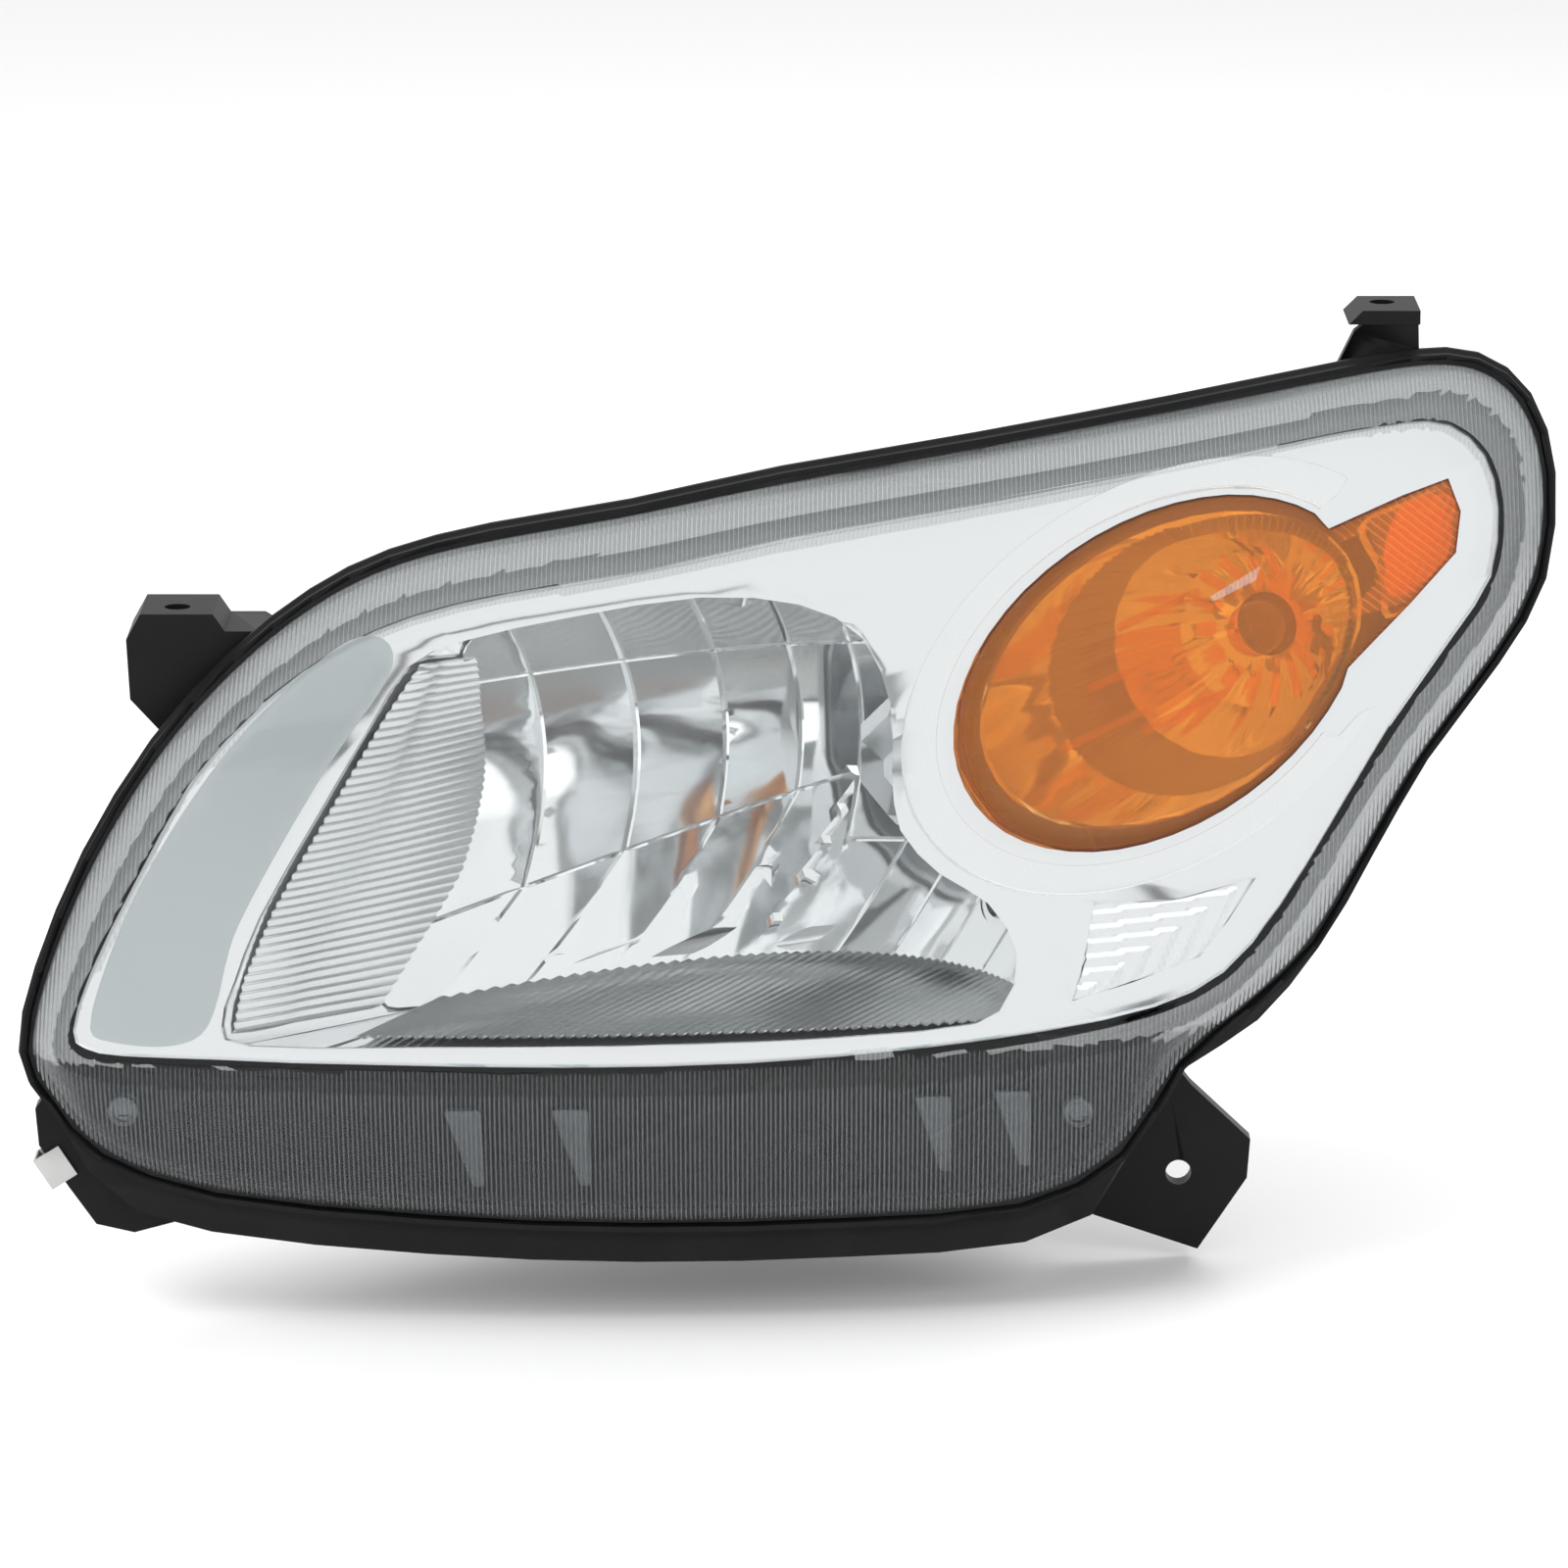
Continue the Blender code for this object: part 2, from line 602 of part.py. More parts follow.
def build_panel():
    verts, faces = sheet(PANEL, BEZEL_OFFSET + BEZEL_WALL + 0.8, 2.0)
    return mesh_object("fluted_panel", verts, faces, WHITE)


# ---------------------------------------------------------------- turn signal and side marker
def amber_outline():
    points = []
    for k in range(48):
        a = -2 * math.pi * k / 48 + math.radians(58)
        wing = -8 < math.degrees(math.atan2(math.sin(a), math.cos(a))) < 54
        if not wing:
            points.append((TURN_X + TURN_RX * math.cos(a), TURN_Z + TURN_RZ * math.sin(a)))
    return points[:1] + WING + points[1:]


def build_amber():
    steps = ((0.4, 3.6, 0.1), (0.75, 3.6, 0.7), (1.0, 3.6, 2.0), (1.0, 3.4, 4.9), (1.0, 0.0, 4.9))
    verts, faces = sheet(amber_outline(), AMBER_OFFSET, AMBER_WALL, steps)
    return mesh_object("amber_inner_lens", verts, faces, AMBER)


def build_turn_reflector():
    seg = 36
    rims = []
    for k in range(seg):
        a = 2 * math.pi * k / seg
        rims.append(front(TURN_X + (TURN_RX - 7) * math.cos(a), TURN_Z + (TURN_RZ - 9) * math.sin(a),
                          AMBER_OFFSET + 9.5))
    rings = []
    for r, y, keep in ((11.5, 234, 0), (18, 232.5, 0), (28, 223, 7.5), (35, 208, 5), (CUP_R, CUP_Y, 2.5)):
        ring = []
        for k in range(seg):
            a = 2 * math.pi * k / seg
            depth = max(y, rims[k][1] + keep) if keep else y
            ring.append((CUP_X + r * math.cos(a), depth, CUP_Z + r * math.sin(a)))
        rings.append(ring)
    rings.append(rims)
    verts, faces = loft(rings + thicken(rings, 1.8, 0)[::-1], loop=True)
    return mesh_object("turn_reflector", verts, faces, CHROME)


def bulb(name, x, z, y_base, radius, length, mat):
    tip = y_base - length
    prof = [(0, y_base), (radius * 0.8, y_base), (radius * 0.85, y_base - 0.2 * length)]
    prof += [(radius, y_base - 0.4 * length), (radius, tip + radius * 0.8)]
    prof += [(radius * 0.7, tip + radius * 0.25), (radius * 0.3, tip + 0.04 * radius), (0, tip)]
    verts, faces = turned(x, z, prof, 18)
    return mesh_object(name, verts, faces, mat, (x, y_base, z))


def socket(name, x, z, y_wall, radius, inner, depth, mat, lug_len):
    """Quarter-turn socket. y_wall is the outer face of the wall it locks into."""
    flange = y_wall + 3.2
    prof = [(0, y_wall - inner), (radius - 1.5, y_wall - inner), (radius, y_wall - inner + 1.5)]
    prof += [(radius, flange), (radius + 4, flange), (radius + 4, flange + 2.5)]
    prof += [(radius - 1, flange + 3), (radius - 1.5, y_wall + depth), (0, y_wall + depth)]
    verts, faces = turned(x, z, prof, 24)
    body = mesh_object(name, verts, faces, mat, (x, y_wall, z))
    for k in range(3):
        add(body, lug(x, z, radius - 2, radius + lug_len, math.radians(120 * k), radius * 0.5,
                      y_wall - 3.0 - GAP - 3.0, y_wall - 3.0 - GAP))
    for k in (0.25, 0.75):
        add(body, lug(x, z, 0.0, radius + 2.5, 2 * math.pi * k, 5.0, flange + 1.0, y_wall + depth - 3))
    cut(body, turned(x, z, [(0, y_wall + depth - 9), (radius * 0.55, y_wall + depth - 9),
                            (radius * 0.55, y_wall + depth + 5), (0, y_wall + depth + 5)], 24))
    return body


def ring_seal(name, x, z, y, major, minor):
    prof = []
    for k in range(8):
        a = 2 * math.pi * k / 8
        prof.append((major + minor * math.cos(a), y + minor * math.sin(a)))
    verts, faces = turned(x, z, prof, 22, loop=True)
    return mesh_object(name, verts, faces, RUBBER)


def build_marker_reflector():
    outline = [(104, 68), (113, 73), (121, 77), (127, 70), (129, 58), (125, 47), (119, 40), (114, 53)]
    loop = spline(outline, 32)
    skins = []
    for extra in (0.0, 1.6):
        rim = [front(x, z, AMBER_OFFSET + 9.5) for x, z in grow(loop, extra)]
        hole = []
        for x, z in loop:
            a = math.atan2(z - 60, x - 118)
            r = 8.6 + extra
            hole.append((MARK_X + r * math.cos(a), 276 + extra, MARK_Z + r * math.sin(a)))
        skins.append([rim, hole])
    verts, faces = loft(skins[0] + skins[1][::-1], loop=True)
    return mesh_object("marker_reflector", verts, faces, CHROME)


# ---------------------------------------------------------------- main reflector and its bulb
AXIS = ((PIVOT_X_IN + PIVOT_X_OUT) / 2, PIVOT_Y, PIVOT_Z)


def parabola(x, z):
    return VERTEX_Y - ((x - BULB_X) ** 2 + (z - BULB_Z) ** 2) / (4 * FOCAL)


def build_reflector():
    count = 44
    back_loop = [(p[0], p[1]) for p in spline(SCOOP_BACK, count)]
    front_loop = [(p[0], p[1]) for p in spline(SCOOP_FRONT, count)]
    rings = []
    for share in (0.0, 0.25, 0.5, 0.75, 1.0):
        ring = []
        for x, z in back_loop:
            reach = math.hypot(x - BULB_X, z - BULB_Z)
            keep = BULB_HOLE_R + (reach - BULB_HOLE_R) * share
            px = BULB_X + (x - BULB_X) * keep / reach
            pz = BULB_Z + (z - BULB_Z) * keep / reach
            ring.append((px, parabola(px, pz), pz))
        rings.append(ring)
    rings.append([front(x, z, BEZEL_OFFSET + BEZEL_WALL + 7.0) for x, z in front_loop])
    verts, faces = loft(rings + thicken(rings, REFLECTOR_WALL, 0)[::-1], loop=True)
    scoop = mesh_object("main_reflector", verts, faces, CHROME, AXIS)
    # Neck that carries the bulb, ball bosses and the neck of the position lamp.
    neck = BULB_HOLE_R + 3.5
    add(scoop, turned(BULB_X, BULB_Z, [(BULB_HOLE_R, 170.2), (neck, 170.2), (neck, 184),
                                       (BULB_HOLE_R, 184)], 44, loop=True))
    for x, z in ((PIVOT_X_IN, PIVOT_Z), (PIVOT_X_OUT, PIVOT_Z), (AIM_X, AIM_Z)):
        depth = parabola(x, z) + 1.4
        add(scoop, box(x - 6, x + 6, depth, PIVOT_Y - 7.5, z - 6, z + 6))
    neck = POS_SOCKET_R + GAP
    add(scoop, turned(POS_X, POS_Z, [(neck + 2, 150.5), (neck + 3.6, 150.5), (neck + 3.6, 166),
                                     (neck, 166), (neck, 163), (neck + 2, 163)], 28, loop=True))
    cut(scoop, turned(POS_X, POS_Z, [(0, 120), (POS_SOCKET_R + GAP, 120), (POS_SOCKET_R + GAP, 169),
                                     (0, 169)], 28))
    hole = 2.0 + GAP
    cut(scoop, turned(BULB_X, BULB_Z - 32.5, [(0, 150), (hole, 150), (hole, 175), (0, 175)], 16))
    for k in range(3):
        cut(scoop, lug(POS_X, POS_Z, POS_SOCKET_R - 3, POS_SOCKET_R + 2, math.radians(120 * k + 45),
                       4.6, 160, 169))
    return scoop


def build_headlamp_bulb():
    prof = [(0, 180), (10.5, 180), (12, 184.3), (FLANGE_R, 184.3), (FLANGE_R, 186.2), (BASE_R, 186.6)]
    prof += [(BASE_R, 199), (14, 201), (0, 201)]
    verts, faces = turned(BULB_X, BULB_Z, prof, 32)
    base = mesh_object("bulb_base", verts, faces, STEEL, (BULB_X, 184.3, BULB_Z))
    add(base, box(BULB_X - 8, BULB_X - 7, 199, 213, BULB_Z - 8, BULB_Z + 1))
    add(base, box(BULB_X + 7, BULB_X + 8, 199, 213, BULB_Z - 8, BULB_Z + 1))
    add(base, box(BULB_X - 4.5, BULB_X + 4.5, 199, 213, BULB_Z + 6, BULB_Z + 7))
    prof = [(0, 179.6), (8.0, 179.6), (8.5, 172), (8.5, 134), (7.5, 127), (4.5, 123.5), (0, 122.5)]
    verts, faces = turned(BULB_X, BULB_Z, prof, 28)
    mesh_object("bulb_glass", verts, faces, GLASS, (BULB_X, 184.3, BULB_Z))


def build_shield():
    seg = 8
    r = SHIELD_R
    skins = []
    for grown in (0.0, 1.2):
        prof = ((9 + grown * 0.3, 113 - grown), (r * 0.72 + grown * 0.6, 117 - grown * 0.8),
                (r + grown, 129))
        rings = []
        for radius, y in prof:
            rings.append([(BULB_X + radius * math.cos(math.pi * (k + 0.5) / 4), y,
                           BULB_Z + radius * math.sin(math.pi * (k + 0.5) / 4)) for k in range(seg)])
        skins.append(rings)
    rings = skins[0] + skins[1][::-1]
    tip_in = (BULB_X, 113, BULB_Z)
    tip_out = (BULB_X, 111.8, BULB_Z)
    verts, faces = loft(rings, tip_in, tip_out)
    shield = mesh_object("bulb_shield", verts, faces, SHIELD, (BULB_X, 129, BULB_Z))
    # Arm that runs back below the bulb to its screw on the reflector.
    under = BULB_Z - r * 0.924
    foot = parabola(BULB_X + 5, BULB_Z - 38) - 2.2
    add(shield, box(BULB_X - 5, BULB_X + 5, 124, foot, under - 1.0, under + 0.2))
    add(shield, box(BULB_X - 5, BULB_X + 5, foot - 1.4, foot, BULB_Z - 38, under + 0.2))
    cut(shield, turned(BULB_X, BULB_Z - 32.5, [(0, 140), (2.4, 140), (2.4, 180), (0, 180)], 16))
    return foot


def build_clip():
    x = BULB_X
    z = BULB_Z
    half = 19.0
    leg = [(187.8, z), (187.8, z - 24), (189.5, z - 27), (193, z - 29)]
    path = [(x - half, y, low) for y, low in leg[::-1]]
    for k in range(13):
        a = math.pi - math.pi * k / 12
        path.append((x + half * math.cos(a), leg[0][0], z + 3 + half * math.sin(a)))
    path += [(x + half, y, low) for y, low in leg]
    verts, faces = wire(path, 0.8)
    return mesh_object("bulb_clip", verts, faces, STEEL)


def build_boot():
    hole = BOOT_HOLE_R + 2.3 + GAP
    prof = [(hole, 194), (hole + 2.0, 194), (hole + 2.0, 205), (hole + 0.8, 207), (35, 208.2)]
    prof += [(30, 204), (26, 203.2), (23.5, 206), (22.2, 209), (19.9, 209), (19.9, 203)]
    prof += [(23.5, 200.9), (30, 201.6), (35, 205.6), (hole - 1.5, 204.6), (hole, 204.4)]
    verts, faces = turned(BULB_X, BULB_Z, prof, 36, loop=True)
    return mesh_object("boot", verts, faces, RUBBER)


# ---------------------------------------------------------------- aiming gear
def ball_clip(name, x, z):
    verts, faces = box(x - 6.5, x + 6.5, PIVOT_Y - 7.1, PIVOT_Y + 3.0, z - 6.5, z + 6.5)
    clip = mesh_object(name, verts, faces, NYLON, (x, PIVOT_Y, z))
    prof = [(0, PIVOT_Y - BALL_R - GAP)]
    for k in range(1, 8):
        a = math.pi * k / 9
        prof.append(((BALL_R + GAP) * math.sin(a), PIVOT_Y - (BALL_R + GAP) * math.cos(a)))
    prof += [(3.6, PIVOT_Y + 6), (0, PIVOT_Y + 6)]
    cut(clip, turned(x, z, prof, 24))
    cut(clip, box(x - 0.6, x + 0.6, PIVOT_Y - 2, PIVOT_Y + 6, z - 8, z + 8))
    return clip


def ball_profile(y_centre, neck):
    prof = [(0, y_centre - BALL_R)]
    for k in range(1, 7):
        a = math.pi * k / 8
        prof.append((BALL_R * math.sin(a), y_centre - BALL_R * math.cos(a)))
    prof.append((neck, y_centre + math.sqrt(BALL_R ** 2 - neck ** 2)))
    return prof


def build_pivot(name, x, z, y_end):
    prof = ball_profile(PIVOT_Y, 2.2) + [(2.2, PIVOT_Y + 9), (5.5, PIVOT_Y + 9), (5.5, y_end), (0, y_end)]
    verts, faces = turned(x, z, prof, 24)
    return mesh_object(name, verts, faces, NYLON, (x, PIVOT_Y, z))


def build_aim():
    prof = ball_profile(PIVOT_Y, 2.2) + [(2.2, PIVOT_Y + 8), (3.0, PIVOT_Y + 9), (3.0, 214), (2.2, 215)]
    prof.append((0, 215))
    verts, faces = turned(AIM_X, AIM_Z, prof, 24)
    mesh_object("aim_screw", verts, faces, NYLON, (AIM_X, PIVOT_Y, AIM_Z))
    teeth = 12
    rings = []
    for y, tip, root in ((194, 11.0, 9.4), (197.5, 11.0, 9.4), (199, 9.6, 8.4)):
        ring = []
        for k in range(teeth * 4):
            a = 2 * math.pi * k / (teeth * 4)
            r = tip if k % 4 < 2 else root
            ring.append((AIM_X + r * math.cos(a), y, AIM_Z + r * math.sin(a)))
        rings.append(ring)
    verts, faces = loft(rings, (AIM_X, 194, AIM_Z), (AIM_X, 199, AIM_Z))
    gear = mesh_object("aim_gear", verts, faces, NYLON, (AIM_X, 196, AIM_Z))
    add(gear, turned(AIM_X, AIM_Z, [(0, 198), (6, 198), (6, 204), (0, 204)], 24))
    cut(gear, turned(AIM_X, AIM_Z, [(0, 190), (3.3, 190), (3.3, 208), (0, 208)], 24))
    y = 204.5
    rings = []
    for z, tip, root in ((AIM_Z + 8.6, 3.8, 3.1), (AIM_Z + 13.0, 5.0, 4.2), (AIM_Z + 16, 5.0, 4.2)):
        ring = []
        for k in range(32):
            a = 2 * math.pi * k / 32
            r = tip if k % 4 < 2 else root
            ring.append((AIM_X + r * math.cos(a), y + r * math.sin(a), z))
        rings.append(ring)
    verts, faces = loft(rings, (AIM_X, y, AIM_Z + 8.6), (AIM_X, y, AIM_Z + 16))
    driver = mesh_object("aim_driver", verts, faces, NYLON, (AIM_X, y, AIM_Z))
    top = AIM_Z + 52
    add(driver, turned(AIM_X, 0, [(0, AIM_Z + 15), (2.6, AIM_Z + 15), (2.6, top - 3), (0, top - 3)],
                       20, axis="Z", cy=y))
    add(driver, turned(AIM_X, 0, [(0, top - 8), (6.5, top - 8), (6.5, top), (0, top)], 6, axis="Z", cy=y))
    cut(driver, box(AIM_X - 5, AIM_X + 5, y - 0.8, y + 0.8, top - 2.5, top + 2))
    cut(driver, box(AIM_X - 0.8, AIM_X + 0.8, y - 5, y + 5, top - 2.5, top + 2))


# ---------------------------------------------------------------- small parts
def vent_cap(name, x, z, y):
    prof = [(5.35, y - 9), (7.5, y - 9), (7.5, y), (6.5, y + 2.5), (0, y + 3)]
    prof = [(0, y + GAP), (5.35, y + GAP)] + prof
    verts, faces = turned(x, z, prof, 20)
    cap = mesh_object(name, verts, faces, RUBBER)
    cut(cap, box(x - 1.5, x + 1.5, y - 10, y - 5, z - 9, z + 9))
    return cap


def build_bracket_clip():
    # Spring clip pushed over the edge of the lower inboard tab.
    spine = [(-256.5, -123), (-246.0, -139.5)]
    du = spine[1][0] - spine[0][0]
    dz = spine[1][1] - spine[0][1]
    size = math.hypot(du, dz)
    du, dz = du / size, dz / size
    nu, nz = -dz, du
    along0, along1 = 3.0, 15.0
    section = [(-1.4, 34.6), (9.0, 34.6), (9.0, 35.6), (-0.4, 35.6), (-0.4, 46.4), (9.0, 46.4)]
    section += [(9.0, 47.4), (-1.4, 47.4)]
    rings = []
    for along in (along0, along1):
        ring = []
        for depth, w in section:
            u = spine[0][0] + du * along + nu * depth
            z = spine[0][1] + dz * along + nz * depth
            ring.append(car(u, w, z))
        rings.append(ring)
    step = [b - a for a, b in zip(rings[0][0], rings[1][0])]
    verts, faces = prism(rings[0], step)
    return mesh_object("bracket_clip", verts, faces, STEEL)


# ---------------------------------------------------------------- assembly
build_lens()
build_seal()
build_housing()
build_bezel()
build_panel()
build_amber()
build_turn_reflector()
bulb("turn_bulb", CUP_X, CUP_Z, DRUM_Y - 14.4, 9.5, 32, AMBER_GLASS)
socket("turn_socket", CUP_X, CUP_Z, DRUM_Y, SOCKET_R, 14, 26, GREY, 3.4)
ring_seal("turn_o_ring", CUP_X, CUP_Z, DRUM_Y + 1.6, SOCKET_R + 2.2, 1.2)
build_marker_reflector()
bulb("marker_bulb", MARK_X, MARK_Z, MARK_Y - 28.4, 5.0, 24, GLASS)
socket("marker_socket", MARK_X, MARK_Z, MARK_Y, MARK_SOCKET_R, 28, 22, GREY, 1.8)
ring_seal("marker_o_ring", MARK_X, MARK_Z, MARK_Y + 1.6, MARK_SOCKET_R + 2.0, 1.2)
build_reflector()
build_headlamp_bulb()
SHIELD_FOOT = build_shield()
SCREW_Z = BULB_Z - 32.5
SCREW_SEAT = SHIELD_FOOT - 1.4 - GAP
SCREW = [(0, SHIELD_FOOT - 3.6), (4, SHIELD_FOOT - 3.6), (4, SCREW_SEAT), (2, SCREW_SEAT)]
SCREW += [(2, SHIELD_FOOT + 9), (0, SHIELD_FOOT + 9)]
SCREW_MESH = turned(BULB_X, SCREW_Z, SCREW, 16)
mesh_object("shield_screw", SCREW_MESH[0], SCREW_MESH[1], STEEL, (BULB_X, SHIELD_FOOT, SCREW_Z))
build_clip()
build_boot()
bulb("position_bulb", POS_X, POS_Z, 158.6, 4.8, 24, GLASS)
socket("position_socket", POS_X, POS_Z, 166.0, POS_SOCKET_R, 7, 16, GREY, 1.6)
ball_clip("ball_clip_inboard", PIVOT_X_IN, PIVOT_Z)
ball_clip("ball_clip_outboard", PIVOT_X_OUT, PIVOT_Z)
ball_clip("ball_clip_aim", AIM_X, AIM_Z)
build_pivot("pivot_stud_inboard", PIVOT_X_IN, PIVOT_Z, 174.0)
build_pivot("pivot_stud_outboard", PIVOT_X_OUT, PIVOT_Z, 186.5)
build_aim()
vent_cap("vent_cap_lower", 30, -80, 202.0)
vent_cap("vent_cap_side", -98, 12, 200.0)
build_bracket_clip()

# The pieces that swing with the reflector hang from an empty on the axis of its ball studs.
SWING = bpy.data.objects.new("reflector_axis", None)
bpy.context.scene.collection.objects.link(SWING)
SWING.location = (Vector(AXIS) - Vector(ORIGIN)) * MM
for carried in ("main_reflector", "bulb_shield", "shield_screw", "bulb_base", "bulb_glass", "bulb_clip",
                "position_bulb", "position_socket", "ball_clip_inboard", "ball_clip_outboard",
                "ball_clip_aim"):
    piece = bpy.data.objects[carried]
    piece.location -= SWING.location
    piece.parent = SWING
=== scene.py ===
import json
import math

import bpy
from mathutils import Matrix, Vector
from mathutils.bvhtree import BVHTree
from mathutils.geometry import delaunay_2d_cdt

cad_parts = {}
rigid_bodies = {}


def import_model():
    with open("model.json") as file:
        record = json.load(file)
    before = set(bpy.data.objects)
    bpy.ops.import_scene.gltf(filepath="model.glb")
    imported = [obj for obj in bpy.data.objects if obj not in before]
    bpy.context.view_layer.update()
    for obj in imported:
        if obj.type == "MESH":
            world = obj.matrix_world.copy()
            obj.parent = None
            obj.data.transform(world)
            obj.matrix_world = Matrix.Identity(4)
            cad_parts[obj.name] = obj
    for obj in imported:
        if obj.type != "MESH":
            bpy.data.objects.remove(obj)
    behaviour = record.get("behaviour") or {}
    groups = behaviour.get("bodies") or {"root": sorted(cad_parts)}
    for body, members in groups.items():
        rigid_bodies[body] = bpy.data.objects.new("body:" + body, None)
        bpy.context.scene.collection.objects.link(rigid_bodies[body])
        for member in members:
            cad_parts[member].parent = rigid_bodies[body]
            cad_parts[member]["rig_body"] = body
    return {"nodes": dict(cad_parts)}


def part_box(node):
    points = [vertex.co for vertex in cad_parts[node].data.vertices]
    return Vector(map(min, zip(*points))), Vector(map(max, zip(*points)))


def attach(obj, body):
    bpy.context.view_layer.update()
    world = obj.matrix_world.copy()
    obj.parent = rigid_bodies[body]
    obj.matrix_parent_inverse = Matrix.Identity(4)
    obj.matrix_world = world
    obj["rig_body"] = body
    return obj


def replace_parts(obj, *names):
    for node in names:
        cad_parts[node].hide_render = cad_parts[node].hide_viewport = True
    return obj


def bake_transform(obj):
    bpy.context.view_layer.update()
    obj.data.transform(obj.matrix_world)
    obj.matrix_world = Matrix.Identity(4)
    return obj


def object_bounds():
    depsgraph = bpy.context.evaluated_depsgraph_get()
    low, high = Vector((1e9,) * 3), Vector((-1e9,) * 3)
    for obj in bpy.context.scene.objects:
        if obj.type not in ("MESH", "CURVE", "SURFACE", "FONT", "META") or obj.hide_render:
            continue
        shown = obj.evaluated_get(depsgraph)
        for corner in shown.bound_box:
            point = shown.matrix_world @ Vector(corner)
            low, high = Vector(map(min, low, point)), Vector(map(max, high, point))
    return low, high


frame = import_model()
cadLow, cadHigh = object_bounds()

mm = 0.001
nodes = frame["nodes"]

# Car axes: +X outboard, +Y rearward, +Z up. The bulb's base tells where they start.
bulb = {"x": -13.0, "z": -6.0, "backY": 180.0, "vertexY": 172.0, "focal": 30.0}
baseLow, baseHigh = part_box("bulb_base")
home = Vector(((baseLow.x + baseHigh.x) / 2 - bulb["x"] * mm,
               baseLow.y - bulb["backY"] * mm,
               (baseLow.z + baseHigh.z) / 2 - bulb["z"] * mm))

# The clear lens: its sweep round the car's corner, and the curve of its face.
lens = {"sweep": math.radians(28), "frontU": -110.0, "bowIn": 7.5, "bowOut": 15.0,
        "rake": 0.40, "curl": 0.0012, "foot": -75.0}


def at(x, y, z):
    return home + Vector((x, y, z)) * mm


def fromLens(u, w, z):
    c, s = math.cos(lens["sweep"]), math.sin(lens["sweep"])
    return at(u * c - w * s, u * s + w * c, z)


def toLens(point):
    p = (point - home) / mm
    c, s = math.cos(lens["sweep"]), math.sin(lens["sweep"])
    return p.x * c + p.y * s, -p.x * s + p.y * c, p.z


def face(u, z):
    t = (u - lens["frontU"]) / 150.0
    bow = (lens["bowIn"] if t < 0 else lens["bowOut"]) * t * t
    up = z - lens["foot"]
    return bow + lens["rake"] * up + lens["curl"] * up * up


def onFace(x, z, depth):
    # the point that lies this deep behind the lens face, straight ahead at x and z
    c, s = math.cos(lens["sweep"]), math.sin(lens["sweep"])
    low, high = -420.0, 420.0
    for _ in range(34):
        mid = (low + high) / 2
        if mid * c - (face(mid, z) + depth) * s > x:
            high = mid
        else:
            low = mid
    return fromLens(low, face(low, z) + depth, z)


# finishes
def groupOf(name, numbers, outputs):
    tree = bpy.data.node_groups.new(name, "ShaderNodeTree")
    for label, value in numbers:
        socket = tree.interface.new_socket(label, in_out="INPUT", socket_type="NodeSocketFloat")
        socket.default_value = value
    for label in outputs:
        tree.interface.new_socket(label, in_out="OUTPUT", socket_type="NodeSocketFloat")
    return tree, tree.nodes.new("NodeGroupInput"), tree.nodes.new("NodeGroupOutput")


def calc(tree, kind, a, b=None, c=None, clamp=False):
    node = tree.nodes.new("ShaderNodeMath")
    node.operation = kind
    node.use_clamp = clamp
    for socket, value in zip(node.inputs, (a, b, c)):
        if value is None:
            continue
        if isinstance(value, (int, float)):
            socket.default_value = value
        else:
            tree.links.new(value, socket)
    return node.outputs[0]


def makeGrain():
    # fine moulded grain with a slower waviness and a thin film of dust in it
    tree, start, end = groupOf("mouldGrain", [("Scale", 900), ("Wave", 30), ("Dust", 0.3)],
                               ["Height", "Mask"])
    place = tree.nodes.new("ShaderNodeTexCoord").outputs["Object"]
    fine = tree.nodes.new("ShaderNodeTexVoronoi")
    slow = tree.nodes.new("ShaderNodeTexNoise")
    film = tree.nodes.new("ShaderNodeTexNoise")
    for node, scale in ((fine, start.outputs["Scale"]), (slow, start.outputs["Wave"])):
        tree.links.new(place, node.inputs["Vector"])
        tree.links.new(scale, node.inputs["Scale"])
    tree.links.new(place, film.inputs["Vector"])
    film.inputs["Scale"].default_value = 55
    film.inputs["Detail"].default_value = 6
    height = calc(tree, "MULTIPLY_ADD", fine.outputs["Distance"], 0.5, slow.outputs["Fac"])
    tree.links.new(height, end.inputs["Height"])
    dust = calc(tree, "SUBTRACT", film.outputs["Fac"], 0.45, clamp=True)
    tree.links.new(calc(tree, "MULTIPLY", dust, start.outputs["Dust"], clamp=True), end.inputs["Mask"])
    return tree


def makeRipple():
    # the slight swell that a metallised moulding has, and faint handling haze
    tree, start, end = groupOf("mirrorSwell", [("Scale", 18), ("Haze", 0.05)], ["Height", "Mask"])
    place = tree.nodes.new("ShaderNodeTexCoord").outputs["Object"]
    slow = tree.nodes.new("ShaderNodeTexNoise")
    haze = tree.nodes.new("ShaderNodeTexNoise")
    tree.links.new(place, slow.inputs["Vector"])
    tree.links.new(place, haze.inputs["Vector"])
    tree.links.new(start.outputs["Scale"], slow.inputs["Scale"])
    slow.inputs["Detail"].default_value = 1
    haze.inputs["Scale"].default_value = 40
    haze.inputs["Detail"].default_value = 5
    tree.links.new(slow.outputs["Fac"], end.inputs["Height"])
    tree.links.new(calc(tree, "MULTIPLY", haze.outputs["Fac"], start.outputs["Haze"]), end.inputs["Mask"])
    return tree


